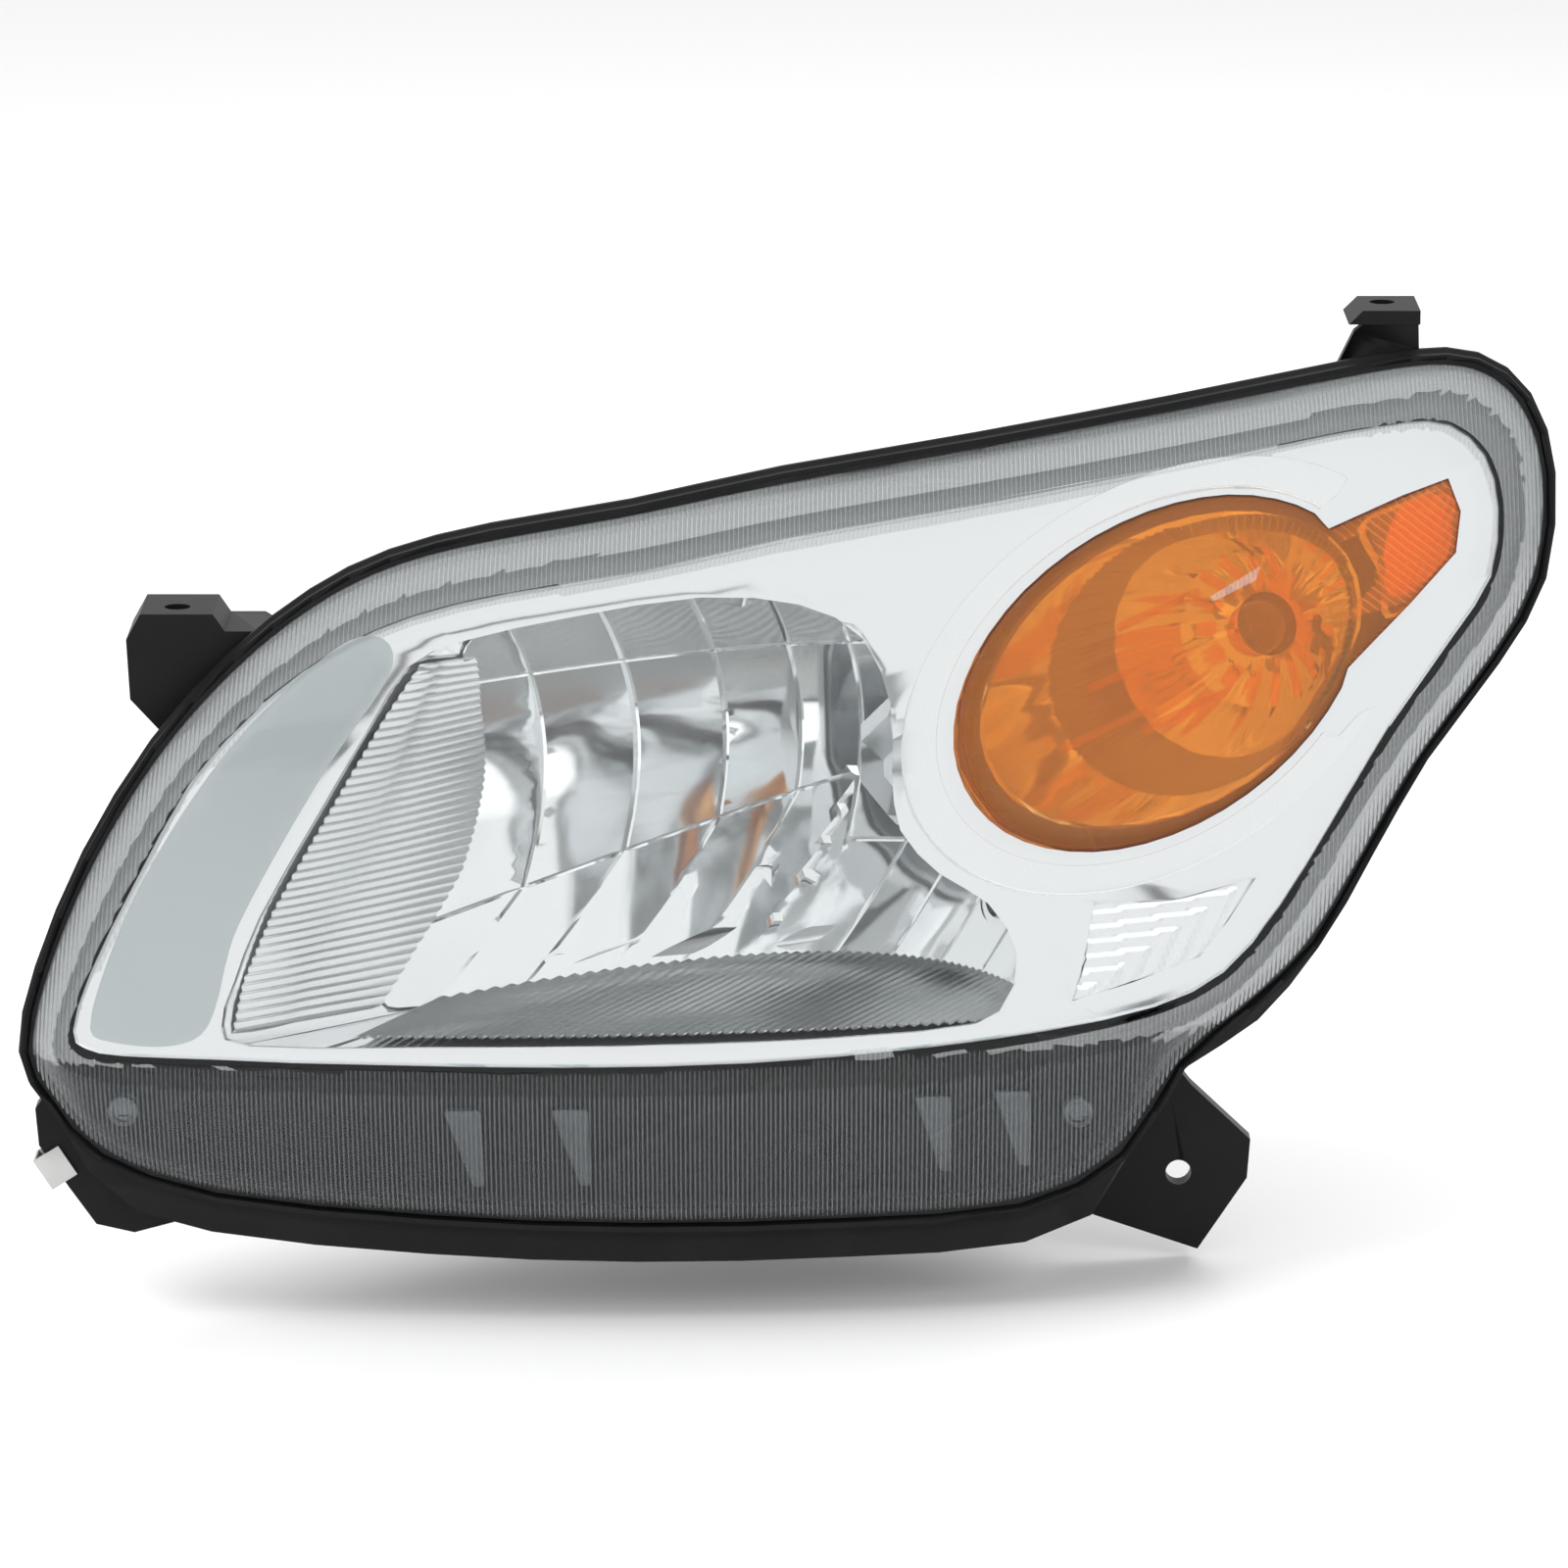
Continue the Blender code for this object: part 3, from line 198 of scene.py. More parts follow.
def makeFlutes():
    # fine optics: parallel flutes across a direction given by the three shares
    tree, start, end = groupOf("fineFlutes", [("X", 1), ("Y", 0), ("Z", 0), ("Pitch", 0.0015)],
                               ["Height", "Mask"])
    place = tree.nodes.new("ShaderNodeTexCoord").outputs["Object"]
    parts = tree.nodes.new("ShaderNodeSeparateXYZ")
    tree.links.new(place, parts.inputs[0])
    total = None
    for axis in ("X", "Y", "Z"):
        share = calc(tree, "MULTIPLY", parts.outputs[axis], start.outputs[axis])
        total = share if total is None else calc(tree, "ADD", total, share)
    turns = calc(tree, "DIVIDE", total, start.outputs["Pitch"])
    wave = calc(tree, "SINE", calc(tree, "MULTIPLY", turns, 2 * math.pi))
    half = calc(tree, "MULTIPLY_ADD", wave, 0.5, 0.5)
    tree.links.new(half, end.inputs["Height"])
    tree.links.new(calc(tree, "POWER", half, 4), end.inputs["Mask"])
    return tree


grain, swell, flutes = makeGrain(), makeRipple(), makeFlutes()


class Finish:
    def __init__(self, name, color, rough=0.4, metal=0.0):
        self.mat = bpy.data.materials.new(name)
        self.mat.use_nodes = True
        self.tree = self.mat.node_tree
        self.shader = self.tree.nodes["Principled BSDF"]
        self.out = self.tree.nodes["Material Output"]
        self.color, self.rough = color, rough
        self.shader.inputs["Base Color"].default_value = (*color, 1)
        self.shader.inputs["Roughness"].default_value = rough
        self.shader.inputs["Metallic"].default_value = metal
        self.heights = []

    def group(self, tree, **values):
        node = self.tree.nodes.new("ShaderNodeGroup")
        node.node_tree = tree
        for label, value in values.items():
            node.inputs[label].default_value = value
        return node.outputs

    def bump(self, height, depth, strength=1.0):
        node = self.tree.nodes.new("ShaderNodeBump")
        node.inputs["Distance"].default_value = depth
        node.inputs["Strength"].default_value = strength
        self.tree.links.new(height, node.inputs["Height"])
        if self.heights:
            self.tree.links.new(self.heights[-1], node.inputs["Normal"])
        self.heights.append(node.outputs[0])
        self.tree.links.new(node.outputs[0], self.shader.inputs["Normal"])

    def tint(self, mask, other):
        node = self.tree.nodes.new("ShaderNodeMix")
        node.data_type = "RGBA"
        self.tree.links.new(mask, node.inputs["Factor"])
        source = self.shader.inputs["Base Color"].links
        if source:
            self.tree.links.new(source[0].from_socket, node.inputs["A"])
        else:
            node.inputs["A"].default_value = (*self.color, 1)
        node.inputs["B"].default_value = (*other, 1)
        self.tree.links.new(node.outputs["Result"], self.shader.inputs["Base Color"])

    def roughen(self, mask, more):
        self.tree.links.new(calc(self.tree, "MULTIPLY_ADD", mask, more, self.rough, clamp=True),
                            self.shader.inputs["Roughness"])


def plastic(name, color, rough, scale=900, depth=0.00006, dust=0.3, dustColor=(0.25, 0.24, 0.22),
            gloss=0.35):
    f = Finish(name, color, rough)
    g = f.group(grain, Scale=scale, Wave=30, Dust=dust)
    f.bump(g["Height"], depth)
    f.tint(g["Mask"], dustColor)
    f.roughen(g["Mask"], 0.8)
    f.shader.inputs["Specular IOR Level"].default_value = gloss
    return f


def mirror(name, color, rough=0.05, scale=18, depth=0.0004, haze=0.05):
    f = Finish(name, color, rough, 1.0)
    g = f.group(swell, Scale=scale, Haze=haze)
    f.bump(g["Height"], depth)
    f.roughen(g["Mask"], 1.0)
    f.tint(g["Mask"], tuple(c * 0.8 for c in color))
    return f


clearGloss = {"straight": 0.035, "more": 0.96, "rise": 5.0}


def clear(name, tint, rough=0.02, base=0.0):
    # thin clear plastic: light goes straight through, with the plastic's own gloss on top
    f = Finish(name, (0.95, 0.96, 0.97), rough, 1.0)
    through = f.tree.nodes.new("ShaderNodeBsdfTransparent")
    through.inputs[0].default_value = (*tint, 1)
    # the same gloss from both sides, since a wall that bends no light has no total reflection inside
    slant = f.tree.nodes.new("ShaderNodeLayerWeight")
    slant.inputs["Blend"].default_value = 0.5
    mix = f.tree.nodes.new("ShaderNodeMixShader")
    rise = calc(f.tree, "POWER", slant.outputs["Facing"], clearGloss["rise"])
    share = calc(f.tree, "MULTIPLY_ADD", rise, clearGloss["more"], clearGloss["straight"] + base, clamp=True)
    f.tree.links.new(share, mix.inputs[0])
    f.tree.links.new(through.outputs[0], mix.inputs[1])
    f.tree.links.new(f.shader.outputs[0], mix.inputs[2])
    f.tree.links.new(mix.outputs[0], f.out.inputs["Surface"])
    f.through, f.mix = through, mix
    return f


def bodyTintOrPaintedHighlight(f, alpha, color, rough=0.3, share=0.5):
    # a coloured layer below the plastic's gloss: on the amber parts it is the amber's own deep colour, on the
    # clear lens walls it is a pale grey painted highlight in place of the light that thick and fluted clear
    # plastic bends; alpha is a number, or a mask that varies over it
    body = f.tree.nodes.new("ShaderNodeBsdfPrincipled")
    body.inputs["Base Color"].default_value = (*color, 1)
    body.inputs["Roughness"].default_value = rough
    if isinstance(alpha, float):
        body.inputs["Alpha"].default_value = alpha
    else:
        f.tree.links.new(alpha, body.inputs["Alpha"])
    blend = f.tree.nodes.new("ShaderNodeMixShader")
    blend.inputs[0].default_value = share
    f.tree.links.new(f.through.outputs[0], blend.inputs[1])
    f.tree.links.new(body.outputs[0], blend.inputs[2])
    f.tree.links.new(blend.outputs[0], f.mix.inputs[1])


print("finishes")
lensClear = clear("lensClear", (0.985, 0.99, 0.99), base=-0.018)
lensFluted = clear("lensFluted", (0.90, 0.92, 0.93), 0.05, base=-0.022)
acrossLens = {"X": math.cos(lens["sweep"]), "Y": math.sin(lens["sweep"]), "Z": 0.0, "Pitch": 0.0016}
fineLines = lensFluted.group(flutes, **acrossLens)
lensFluted.bump(fineLines["Height"], 0.0003)
# painted highlight: a pale grey layer over the lens skirt, strongest on the flute crests, in place of the
# light the flutes bend
bodyTintOrPaintedHighlight(lensFluted, calc(lensFluted.tree, "MULTIPLY_ADD", fineLines["Mask"], 0.22, 0.02), (0.62, 0.65, 0.67))
lensEdge = clear("lensEdge", (0.93, 0.95, 0.96), 0.05, base=0.01)
edgeLines = lensEdge.group(flutes, **acrossLens)
lensEdge.bump(edgeLines["Height"], 0.0003)
# painted highlight: a pale grey layer over the lens walls, stronger on the flute crests, in place of the
# light the thick walls bend
bodyTintOrPaintedHighlight(lensEdge, calc(lensEdge.tree, "MULTIPLY_ADD", edgeLines["Mask"], 0.25, 0.42), (0.66, 0.69, 0.70))
clearLug = clear("clearLug", (0.90, 0.93, 0.94), 0.04, base=0.02)
amberClear = clear("amberClear", (1.0, 0.62, 0.04), 0.03, base=-0.022)
bodyTintOrPaintedHighlight(amberClear, 0.30, (1.0, 0.32, 0.003))
amberWing = clear("amberWing", (1.0, 0.58, 0.05), 0.06, base=-0.02)
mesh1 = amberWing.group(flutes, X=0.6, Y=0.3, Z=0.9, Pitch=0.0026)
mesh2 = amberWing.group(flutes, X=0.6, Y=0.3, Z=-0.9, Pitch=0.0026)
amberWing.bump(mesh1["Height"], 0.0006)
amberWing.bump(mesh2["Height"], 0.0006)
bodyTintOrPaintedHighlight(amberWing, calc(amberWing.tree, "MULTIPLY_ADD", mesh1["Mask"], 0.3, 0.45), (1.0, 0.30, 0.02))
bulbClear = clear("bulbClear", (0.96, 0.97, 0.98), 0.01)
bulbAmber = clear("bulbAmber", (1.0, 0.62, 0.25), 0.03, base=0.05)

backPlastic = plastic("backPlastic", (0.006, 0.006, 0.007), 0.46, dust=0.03, gloss=0.16)
greyPlastic = plastic("greyPlastic", (0.10, 0.10, 0.11), 0.45, dust=0.2)
nylon = plastic("whiteNylon", (0.72, 0.70, 0.64), 0.4, depth=0.00003, dust=0.15, dustColor=(0.5, 0.46, 0.38))
rubber = plastic("blackRubber", (0.018, 0.018, 0.018), 0.75, 1400, 0.00004, 0.5, (0.16, 0.15, 0.14))
sealBlack = plastic("butylSeal", (0.02, 0.02, 0.02), 0.6, 500, 0.0001, 0.1)
chrome = mirror("chromeReflector", (0.90, 0.91, 0.92), 0.03, depth=0.0005)
chromeFacet = mirror("chromeFacets", (0.93, 0.945, 0.95), 0.035, 26, 0.0003)
chromeFacet.shader.inputs["Metallic"].default_value = 0.82
chrome.shader.inputs["Metallic"].default_value = 0.9
bezelSilver = mirror("bezelSilver", (0.90, 0.91, 0.92), 0.09, 12, 0.0008, 0.08)
panelGrey = mirror("panelGrey", (0.56, 0.60, 0.61), 0.28, 14, 0.0002, 0.1)
shieldGrey = mirror("shieldGrey", (0.50, 0.52, 0.53), 0.16, 40, 0.0002, 0.1)
steel = mirror("springSteel", (0.58, 0.58, 0.57), 0.22, 60, 0.0001, 0.3)
darkRib = mirror("ribbedGrey", (0.86, 0.88, 0.89), 0.12, 30, 0.0001, 0.1)
darkRib.shader.inputs["Metallic"].default_value = 0.75
whiteFlute = mirror("whiteFlutes", (0.86, 0.87, 0.88), 0.22, 30, 0.0001, 0.1)
whiteFlute.shader.inputs["Metallic"].default_value = 0.85
floorFlute = mirror("floorFlutes", (0.55, 0.56, 0.55), 0.14, 30, 0.0001, 0.1)
ringSatin = mirror("ringSatin", (0.92, 0.93, 0.93), 0.22, 14, 0.0003, 0.1)
# painted shade: a dark grey copy of the chrome, for the ribbed outer wall of the turn cup
cupRibPaintedShade = mirror("cupRibPaintedShade", (0.30, 0.30, 0.30), 0.2, 30, 0.0001, 0.1)
reflexAmber = mirror("reflexAmber", (1.0, 0.42, 0.12), 0.15, 30, 0.0001, 0.1)


# mesh helpers
def clearSelection():
    bpy.ops.object.select_all(action="DESELECT")


def activate(obj):
    clearSelection()
    obj.select_set(True)
    bpy.context.view_layer.objects.active = obj


def settle(obj, finish, body, slot, angle=30):
    # finish a piece: smooth by angle, its finish and its body
    activate(obj)
    bpy.ops.object.transform_apply(location=True, rotation=True, scale=True)
    bpy.ops.object.shade_smooth_by_angle(angle=math.radians(angle))
    if finish is not None:
        obj.data.materials.clear()
        obj.data.materials.append(finish.mat)
    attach(obj, body)
    return obj


def applied(obj, kind, **values):
    activate(obj)
    mod = obj.modifiers.new(kind.lower(), kind)
    for key, value in values.items():
        setattr(mod, key, value)
    bpy.ops.object.modifier_apply(modifier=mod.name)
    return obj


def meshOf(name, verts, faces):
    mesh = bpy.data.meshes.new(name)
    mesh.from_pydata([tuple(v) for v in verts], [], faces)
    obj = bpy.data.objects.new(name, mesh)
    bpy.context.scene.collection.objects.link(obj)
    return obj


def mergedCopy(node, name):
    obj = nodes[node].copy()
    obj.data = nodes[node].data.copy()
    for key in list(obj.keys()):
        del obj[key]
    obj.name = name
    obj.parent = None
    bpy.context.scene.collection.objects.link(obj)
    activate(obj)
    bpy.ops.object.mode_set(mode="EDIT")
    bpy.ops.mesh.select_all(action="SELECT")
    bpy.ops.mesh.remove_doubles(threshold=0.00001)
    bpy.ops.mesh.normals_make_consistent(inside=False)
    bpy.ops.mesh.dissolve_limited(angle_limit=math.radians(0.6))
    bpy.ops.object.mode_set(mode="OBJECT")
    return obj


def refined(node, name, finish, slot, bevel=0.0003, angle=30, limit=40):
    obj = mergedCopy(node, name)
    if bevel:
        applied(obj, "BEVEL", width=bevel, segments=2, limit_method="ANGLE",
                angle_limit=math.radians(limit), use_clamp_overlap=True, miter_outer="MITER_ARC")
    settle(obj, finish, nodes[node]["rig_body"], slot, angle)
    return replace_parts(obj, node)


def curvePoints(rows, step):
    # closed smooth curve through the rows, a point every step
    n = len(rows)
    out = []
    for i in range(n):
        p0, p1, p2, p3 = (Vector(rows[(i + j - 1) % n]) for j in range(4))
        parts = max(1, round((p2 - p1).length / step))
        for k in range(parts):
            t = k / parts
            out.append(0.5 * (2 * p1 + (p2 - p0) * t + (2 * p0 - 5 * p1 + 4 * p2 - p3) * t * t
                              + (3 * p1 - p0 - 3 * p2 + p3) * t ** 3))
    return out


def circle(cx, cz, rx, rz, step):
    n = max(24, round(2 * math.pi * max(rx, rz) / step))
    return [Vector((cx + rx * math.cos(2 * math.pi * k / n), cz + rz * math.sin(2 * math.pi * k / n)))
            for k in range(n)]


def inside(p, loop):
    hit = False
    for i in range(len(loop)):
        a, b = loop[i - 1], loop[i]
        if (a[1] > p[1]) != (b[1] > p[1]) and p[0] < (b[0] - a[0]) * (p[1] - a[1]) / (b[1] - a[1]) + a[0]:
            hit = not hit
    return hit


def shrunk(loop, amount):
    # the loop moved inwards; its direction does not matter
    n = len(loop)
    area = sum(loop[i - 1][0] * loop[i][1] - loop[i][0] * loop[i - 1][1] for i in range(n))
    sign = 1 if area > 0 else -1
    out = []
    for i in range(n):
        d = (loop[(i + 1) % n] - loop[i - 1]).normalized()
        out.append(loop[i] + Vector((-d.y, d.x)) * amount * sign)
    return out


def filled(outer, holes, step, lines=()):
    # flat triangles inside outer and outside the holes, with the lines kept as edges
    points, edges = [], []
    for loop in [outer] + list(holes):
        base = len(points)
        points += loop
        edges += [(base + i, base + (i + 1) % len(loop)) for i in range(len(loop))]
    for line in lines:
        base = len(points)
        points += line
        edges += [(base + i, base + i + 1) for i in range(len(line) - 1)]
    cells = {(round(p.x / step), round(p.y / step)) for p in points}
    lowX, highX = min(p.x for p in outer), max(p.x for p in outer)
    lowZ, highZ = min(p.y for p in outer), max(p.y for p in outer)
    for i in range(int(lowX / step), int(highX / step) + 1):
        for j in range(int(lowZ / step), int(highZ / step) + 1):
            p = Vector(((i + 0.5 * (j % 2)) * step, j * step))
            if (round(p.x / step), round(p.y / step)) not in cells and inside(p, outer):
                points.append(p)
    verts, _, tris, *_ = delaunay_2d_cdt(points, edges, [], 0, 0.01)
    keep = []
    for tri in tris:
        mid = (verts[tri[0]] + verts[tri[1]] + verts[tri[2]]) / 3
        if inside(mid, outer) and not any(inside(mid, hole) for hole in holes):
            keep.append(tri)
    return verts, keep


def skin(name, outer, holes, step, lift, wall, lines=()):
    # a sheet over (x, z) lifted to its place and given a wall behind
    flat, tris = filled(outer, holes, step, lines)
    obj = meshOf(name, [lift(p.x, p.y) for p in flat], tris)
    activate(obj)
    bpy.ops.object.mode_set(mode="EDIT")
    bpy.ops.mesh.select_all(action="SELECT")
    bpy.ops.mesh.delete_loose()
    bpy.ops.mesh.select_all(action="SELECT")
    bpy.ops.mesh.normals_make_consistent(inside=False)
    bpy.ops.object.mode_set(mode="OBJECT")
    front = sum(p.normal.y * p.area for p in obj.data.polygons)
    if front > 0:
        obj.data.flip_normals()
    return applied(obj, "SOLIDIFY", thickness=wall, offset=-1, use_even_offset=False)


# stage, camera and light
stageLook = {"floor": (0.86, 0.86, 0.86), "drop": 0.004, "world": 0.95}
mainView = {"azimuth": 28, "elevation": 14, "distance": 2.6, "lens": 175.5, "aim": (0, 60, 0)}


def buildStage():
    bpy.ops.mesh.primitive_plane_add(size=6, location=(0.2, 0.1, cadLow.z - stageLook["drop"]))
    floor = bpy.context.object
    floor.name = "paleFloor"
    f = Finish("paleFloor", stageLook["floor"], 0.6)
    floor.data.materials.append(f.mat)
    world = bpy.data.worlds.new("softStudio")
    bpy.context.scene.world = world
    world.use_nodes = True
    sky = world.node_tree.nodes["Background"]
    sky.inputs["Color"].default_value = (1, 1, 1, 1)
    sky.inputs["Strength"].default_value = stageLook["world"]
    aim = fromLens(*mainView["aim"])
    a, e = math.radians(mainView["azimuth"]), math.radians(mainView["elevation"])
    back = Vector((math.sin(a) * math.cos(e), -math.cos(a) * math.cos(e), math.sin(e)))
    bpy.ops.object.camera_add(location=aim + back * mainView["distance"])
    camera = bpy.context.object
    camera.rotation_euler = back.to_track_quat("Z", "Y").to_euler()
    camera.data.lens = mainView["lens"]
    camera.data.sensor_width = 36
    bpy.context.scene.camera = camera
    for name, place, size, power in (("keyBox", (-1.2, -1.6, 1.8), (1.6, 1.0), 40),
                                     ("fillBox", (2.0, -1.2, 1.2), (1.0, 1.0), 18),
                                     ("backBox", (0.3, 1.8, 1.6), (1.6, 0.8), 25)):
        bpy.ops.object.light_add(type="AREA", location=aim + Vector(place))
        light = bpy.context.object
        light.name = name
        light.data.shape = "RECTANGLE"
        light.data.size, light.data.size_y = size
        light.data.energy = power
        light.visible_glossy = False
        light.rotation_euler = Vector(place).to_track_quat("Z", "Y").to_euler()
    # dark cards that give the bright metal something to mirror
    card = Finish("darkCard", (0.004, 0.004, 0.004), 0.9)
    for name, place, size in (("cardLeft", (-1.3, -1.5, 0.1), (0.16, 0.9)),
                              ("cardLow", (0.5, -1.9, -0.1), (0.9, 0.11)),
                              ("cardTop", (0.5, -1.2, 1.5), (0.9, 0.12)),
                              ("cardRight", (1.9, -0.7, 0.2), (0.14, 0.8))):
        bpy.ops.mesh.primitive_plane_add(size=1, location=aim + Vector(place))
        plane = bpy.context.object
        plane.name = name
        plane.scale = (*size, 1)
        plane.rotation_euler = Vector(place).to_track_quat("Z", "Y").to_euler()
        plane.data.materials.append(card.mat)
        plane.visible_camera = False
        plane.visible_diffuse = False
        plane.visible_shadow = False


buildStage()
bpy.context.scene.view_settings.view_transform = "Standard"
bpy.context.scene.cycles.transparent_max_bounces = 24
bpy.context.scene.cycles.glossy_bounces = 8
print("stage, camera and light")


# outer lens
lensPiece = {"wallDepth": 3.6, "smoothing": 2, "skirtTop": -84.0}


def buildOuterLens():
    obj = mergedCopy("outer_lens", "outerLens")
    applied(obj, "SUBSURF", levels=lensPiece["smoothing"], render_levels=lensPiece["smoothing"])
    settle(obj, lensClear, "lamp_body", "clear_lens", 60)
    obj.data.materials.append(lensFluted.mat)
    obj.data.materials.append(lensEdge.mat)
    for polygon in obj.data.polygons:
        u, w, z = toLens(polygon.center)
        wall = w - face(u, z) > lensPiece["wallDepth"]
        polygon.material_index = (1 if z < lensPiece["skirtTop"] else 2) if wall else 0
    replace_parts(obj, "outer_lens")


buildOuterLens()
print("outer lens")

# bezel: metallised frame with a grey field, and the ring round the turn signal
turnSignal = {"x": 66.0, "z": 29.0, "rx": 53.0, "rz": 56.0, "cupX": 69.0, "cupZ": 30.0}
wing = [(97, 72), (112, 80), (124, 84), (132, 72), (135, 58), (128, 43), (118, 25)]
chevron = [(66, -38), (88, -38), (110, -34), (107, -50), (101, -62), (84, -69), (67, -73), (66, -58)]


def amberLoop():
    points = []
    for k in range(48):
        a = -2 * math.pi * k / 48 + math.radians(58)
        if not -8 < math.degrees(math.atan2(math.sin(a), math.cos(a))) < 54:
            points.append((turnSignal["x"] + turnSignal["rx"] * math.cos(a),
                           turnSignal["z"] + turnSignal["rz"] * math.sin(a)))
    return curvePoints(points[:1] + wing + points[1:], 2.5)


def buildBezel():
    refined("bezel", "bezelFrame", bezelSilver, "silver_bezel", 0.0005, 35)


def buildSignalRing():
    # satin ring that the turn signal's dome sits in, with a rounded edge
    ring = {"wide": 9.5, "depth": 4.6, "wall": 1.9, "gap": 0.6}
    outer = circle(turnSignal["x"], turnSignal["z"], turnSignal["rx"] + ring["wide"],
                   turnSignal["rz"] + ring["wide"], 2.5)
    hole = amberLoop()
    cutout = shrunk(hole, -ring["gap"])
    wide = [Vector(p) for p in ((90, 60), (100, 88), (140, 98), (150, 60), (120, 4), (100, 20))]
    flat, tris = filled(outer, [cutout], 3.0)
    tris = [t for t in tris if not inside((flat[t[0]] + flat[t[1]] + flat[t[2]]) / 3, wide)]
    obj = meshOf("signalRing", [onFace(p.x, p.y, ring["depth"]) for p in flat], tris)
    activate(obj)
    bpy.ops.object.mode_set(mode="EDIT")
    bpy.ops.mesh.select_all(action="SELECT")
    bpy.ops.mesh.delete_loose()
    bpy.ops.mesh.select_all(action="SELECT")
    bpy.ops.mesh.normals_make_consistent(inside=False)
    bpy.ops.object.mode_set(mode="OBJECT")
    if sum(f.normal.y * f.area for f in obj.data.polygons) > 0:
        obj.data.flip_normals()
    applied(obj, "SOLIDIFY", thickness=ring["wall"] * mm, offset=-1)
    applied(obj, "BEVEL", width=0.7 * mm, segments=3, limit_method="ANGLE", angle_limit=math.radians(50))
    settle(obj, ringSatin, "lamp_body", "silver_bezel", 40)


def buildGreyField():
    # painted field at the inboard end of the bezel, in the lens's own frame
    rows = [(-148, 47), (-133, 40), (-158, 4), (-184, -40), (-196, -74), (-226, -77), (-233, -68),
            (-216, -26), (-186, 16)]
    loop = curvePoints(rows, 3)
    obj = skin("greyField", loop, [], 4, lambda u, z: fromLens(u, face(u, z) + 6.2, z), 0.8 * mm)
    applied(obj, "BEVEL", width=0.3 * mm, segments=2, limit_method="ANGLE", angle_limit=math.radians(50))
    settle(obj, panelGrey, "lamp_body", "silver_bezel", 35)


buildBezel()
buildSignalRing()
buildGreyField()
print("bezel, ring and grey field")

# main reflector: facets, ribbed side, fluted floor
scoopBack = [(-147, -73), (-146, -60), (-141, -38), (-139, -8), (-138, 20), (-137, 40), (-127, 49),
             (-98, 55), (-64, 59), (-34, 56), (-12, 47), (8, 27), (15, 4), (30, -15), (43, -27),
             (53, -38), (57, -54), (54, -73), (28, -78), (-40, -79), (-105, -79), (-138, -79)]
facets = {"columns": [-150, -127, -108, -88, -69, -52, -30, -5, 20, 45], "strips": 19.0, "slant": 0.30,
          "upperRow": 28.0, "lowerRow": -43.0, "turnX": -52.0, "lift": 2.9, "crown": 0.03, "zigzag": 0.45,
          "groove": 0.5, "grooveHalf": 0.8}


def paraboloid(x, z):
    return bulb["vertexY"] - ((x - bulb["x"]) ** 2 + (z - bulb["z"]) ** 2) / (4 * bulb["focal"])


def seam(x):
    # the slanting seam between the upper facets and the strips below them
    return bulb["z"] + 0.36 * (x - bulb["x"]) if x < facets["turnX"] else facets["lowerRow"]


def facetDepth(x, z):
    low = seam(x)
    below = z < low
    along = x - facets["slant"] * (z - low) if below else x
    if below and along > facets["turnX"]:
        turn = (along - facets["turnX"]) / facets["strips"]
        share = turn - math.floor(turn)
        if min(share, 1 - share) * facets["strips"] < 0.3 or low - z < 0.3:
            return -facets["groove"]
        bend = share if int(math.floor(turn)) % 2 else 1 - share
        return facets["zigzag"] * bend
    columns = facets["columns"]
    k = max(i for i in range(len(columns)) if columns[i] <= max(along, columns[0]))
    k = min(k, len(columns) - 2)
    toSeam = min(abs(along - columns[k]), abs(along - columns[k + 1]), abs(z - low))
    if not below:
        toSeam = min(toSeam, abs(z - facets["upperRow"]))
    if toSeam < 0.3:
        return -facets["groove"]
    wide = columns[k + 1] - columns[k]
    s = 2 * (along - columns[k]) / wide - 1
    depth = facets["crown"] * wide * max(0.0, 1 - s * s)
    if not below:
        top, foot = (62.0, facets["upperRow"]) if z > facets["upperRow"] else (facets["upperRow"], low)
        t = 2 * (z - foot) / (top - foot) - 1
        depth *= 0.45 + 0.55 * max(0.0, 1 - t * t)
    return depth


def facetPoint(x, z):
    return at(x, paraboloid(x, z) - facets["lift"] - facetDepth(x, z), z)


def seamLines(step):
    lines = []
    columns = facets["columns"][1:6]
    for x in facets["columns"][1:-1]:
        low = seam(x)
        lines.append([Vector((x, low + (62 - low) * k / 30)) for k in range(31)])
    strips = [facets["turnX"] + facets["strips"] * k for k in range(7)]
    for x in columns[:-1] + strips:
        low = seam(x)
        lines.append([Vector((x + facets["slant"] * (z - low), z))
                      for z in (low + (-82 - low) * k / 20 for k in range(21))])
    lines.append([Vector((-145 + step * k, facets["upperRow"])) for k in range(int(170 / step))])
    lines.append([Vector((x, seam(x))) for x in (-145 + step * k for k in range(int(92 / step)))])
    lines.append([Vector((facets["turnX"] + step * k, facets["lowerRow"])) for k in range(int(110 / step))])
    banks = []
    for line in lines:
        along = (line[-1] - line[0]).normalized() if (line[-1] - line[0]).length > 0 else Vector((1, 0))
        side = Vector((-along.y, along.x)) * facets["grooveHalf"]
        banks += [[p + side for p in line], [p - side for p in line]]
    return lines + banks


def buildFacets():
    outer = shrunk(curvePoints(scoopBack, 2.5), 0.5)
    holes = [circle(bulb["x"], bulb["z"], 20.5, 20.5, 2.0), circle(10, -54, 10.2, 10.2, 1.5)]
    obj = skin("reflectorFacets", outer, holes, 2.6, facetPoint, 0.7 * mm, seamLines(2.5))
    settle(obj, chromeFacet, "reflector", "chrome_reflector", 7)


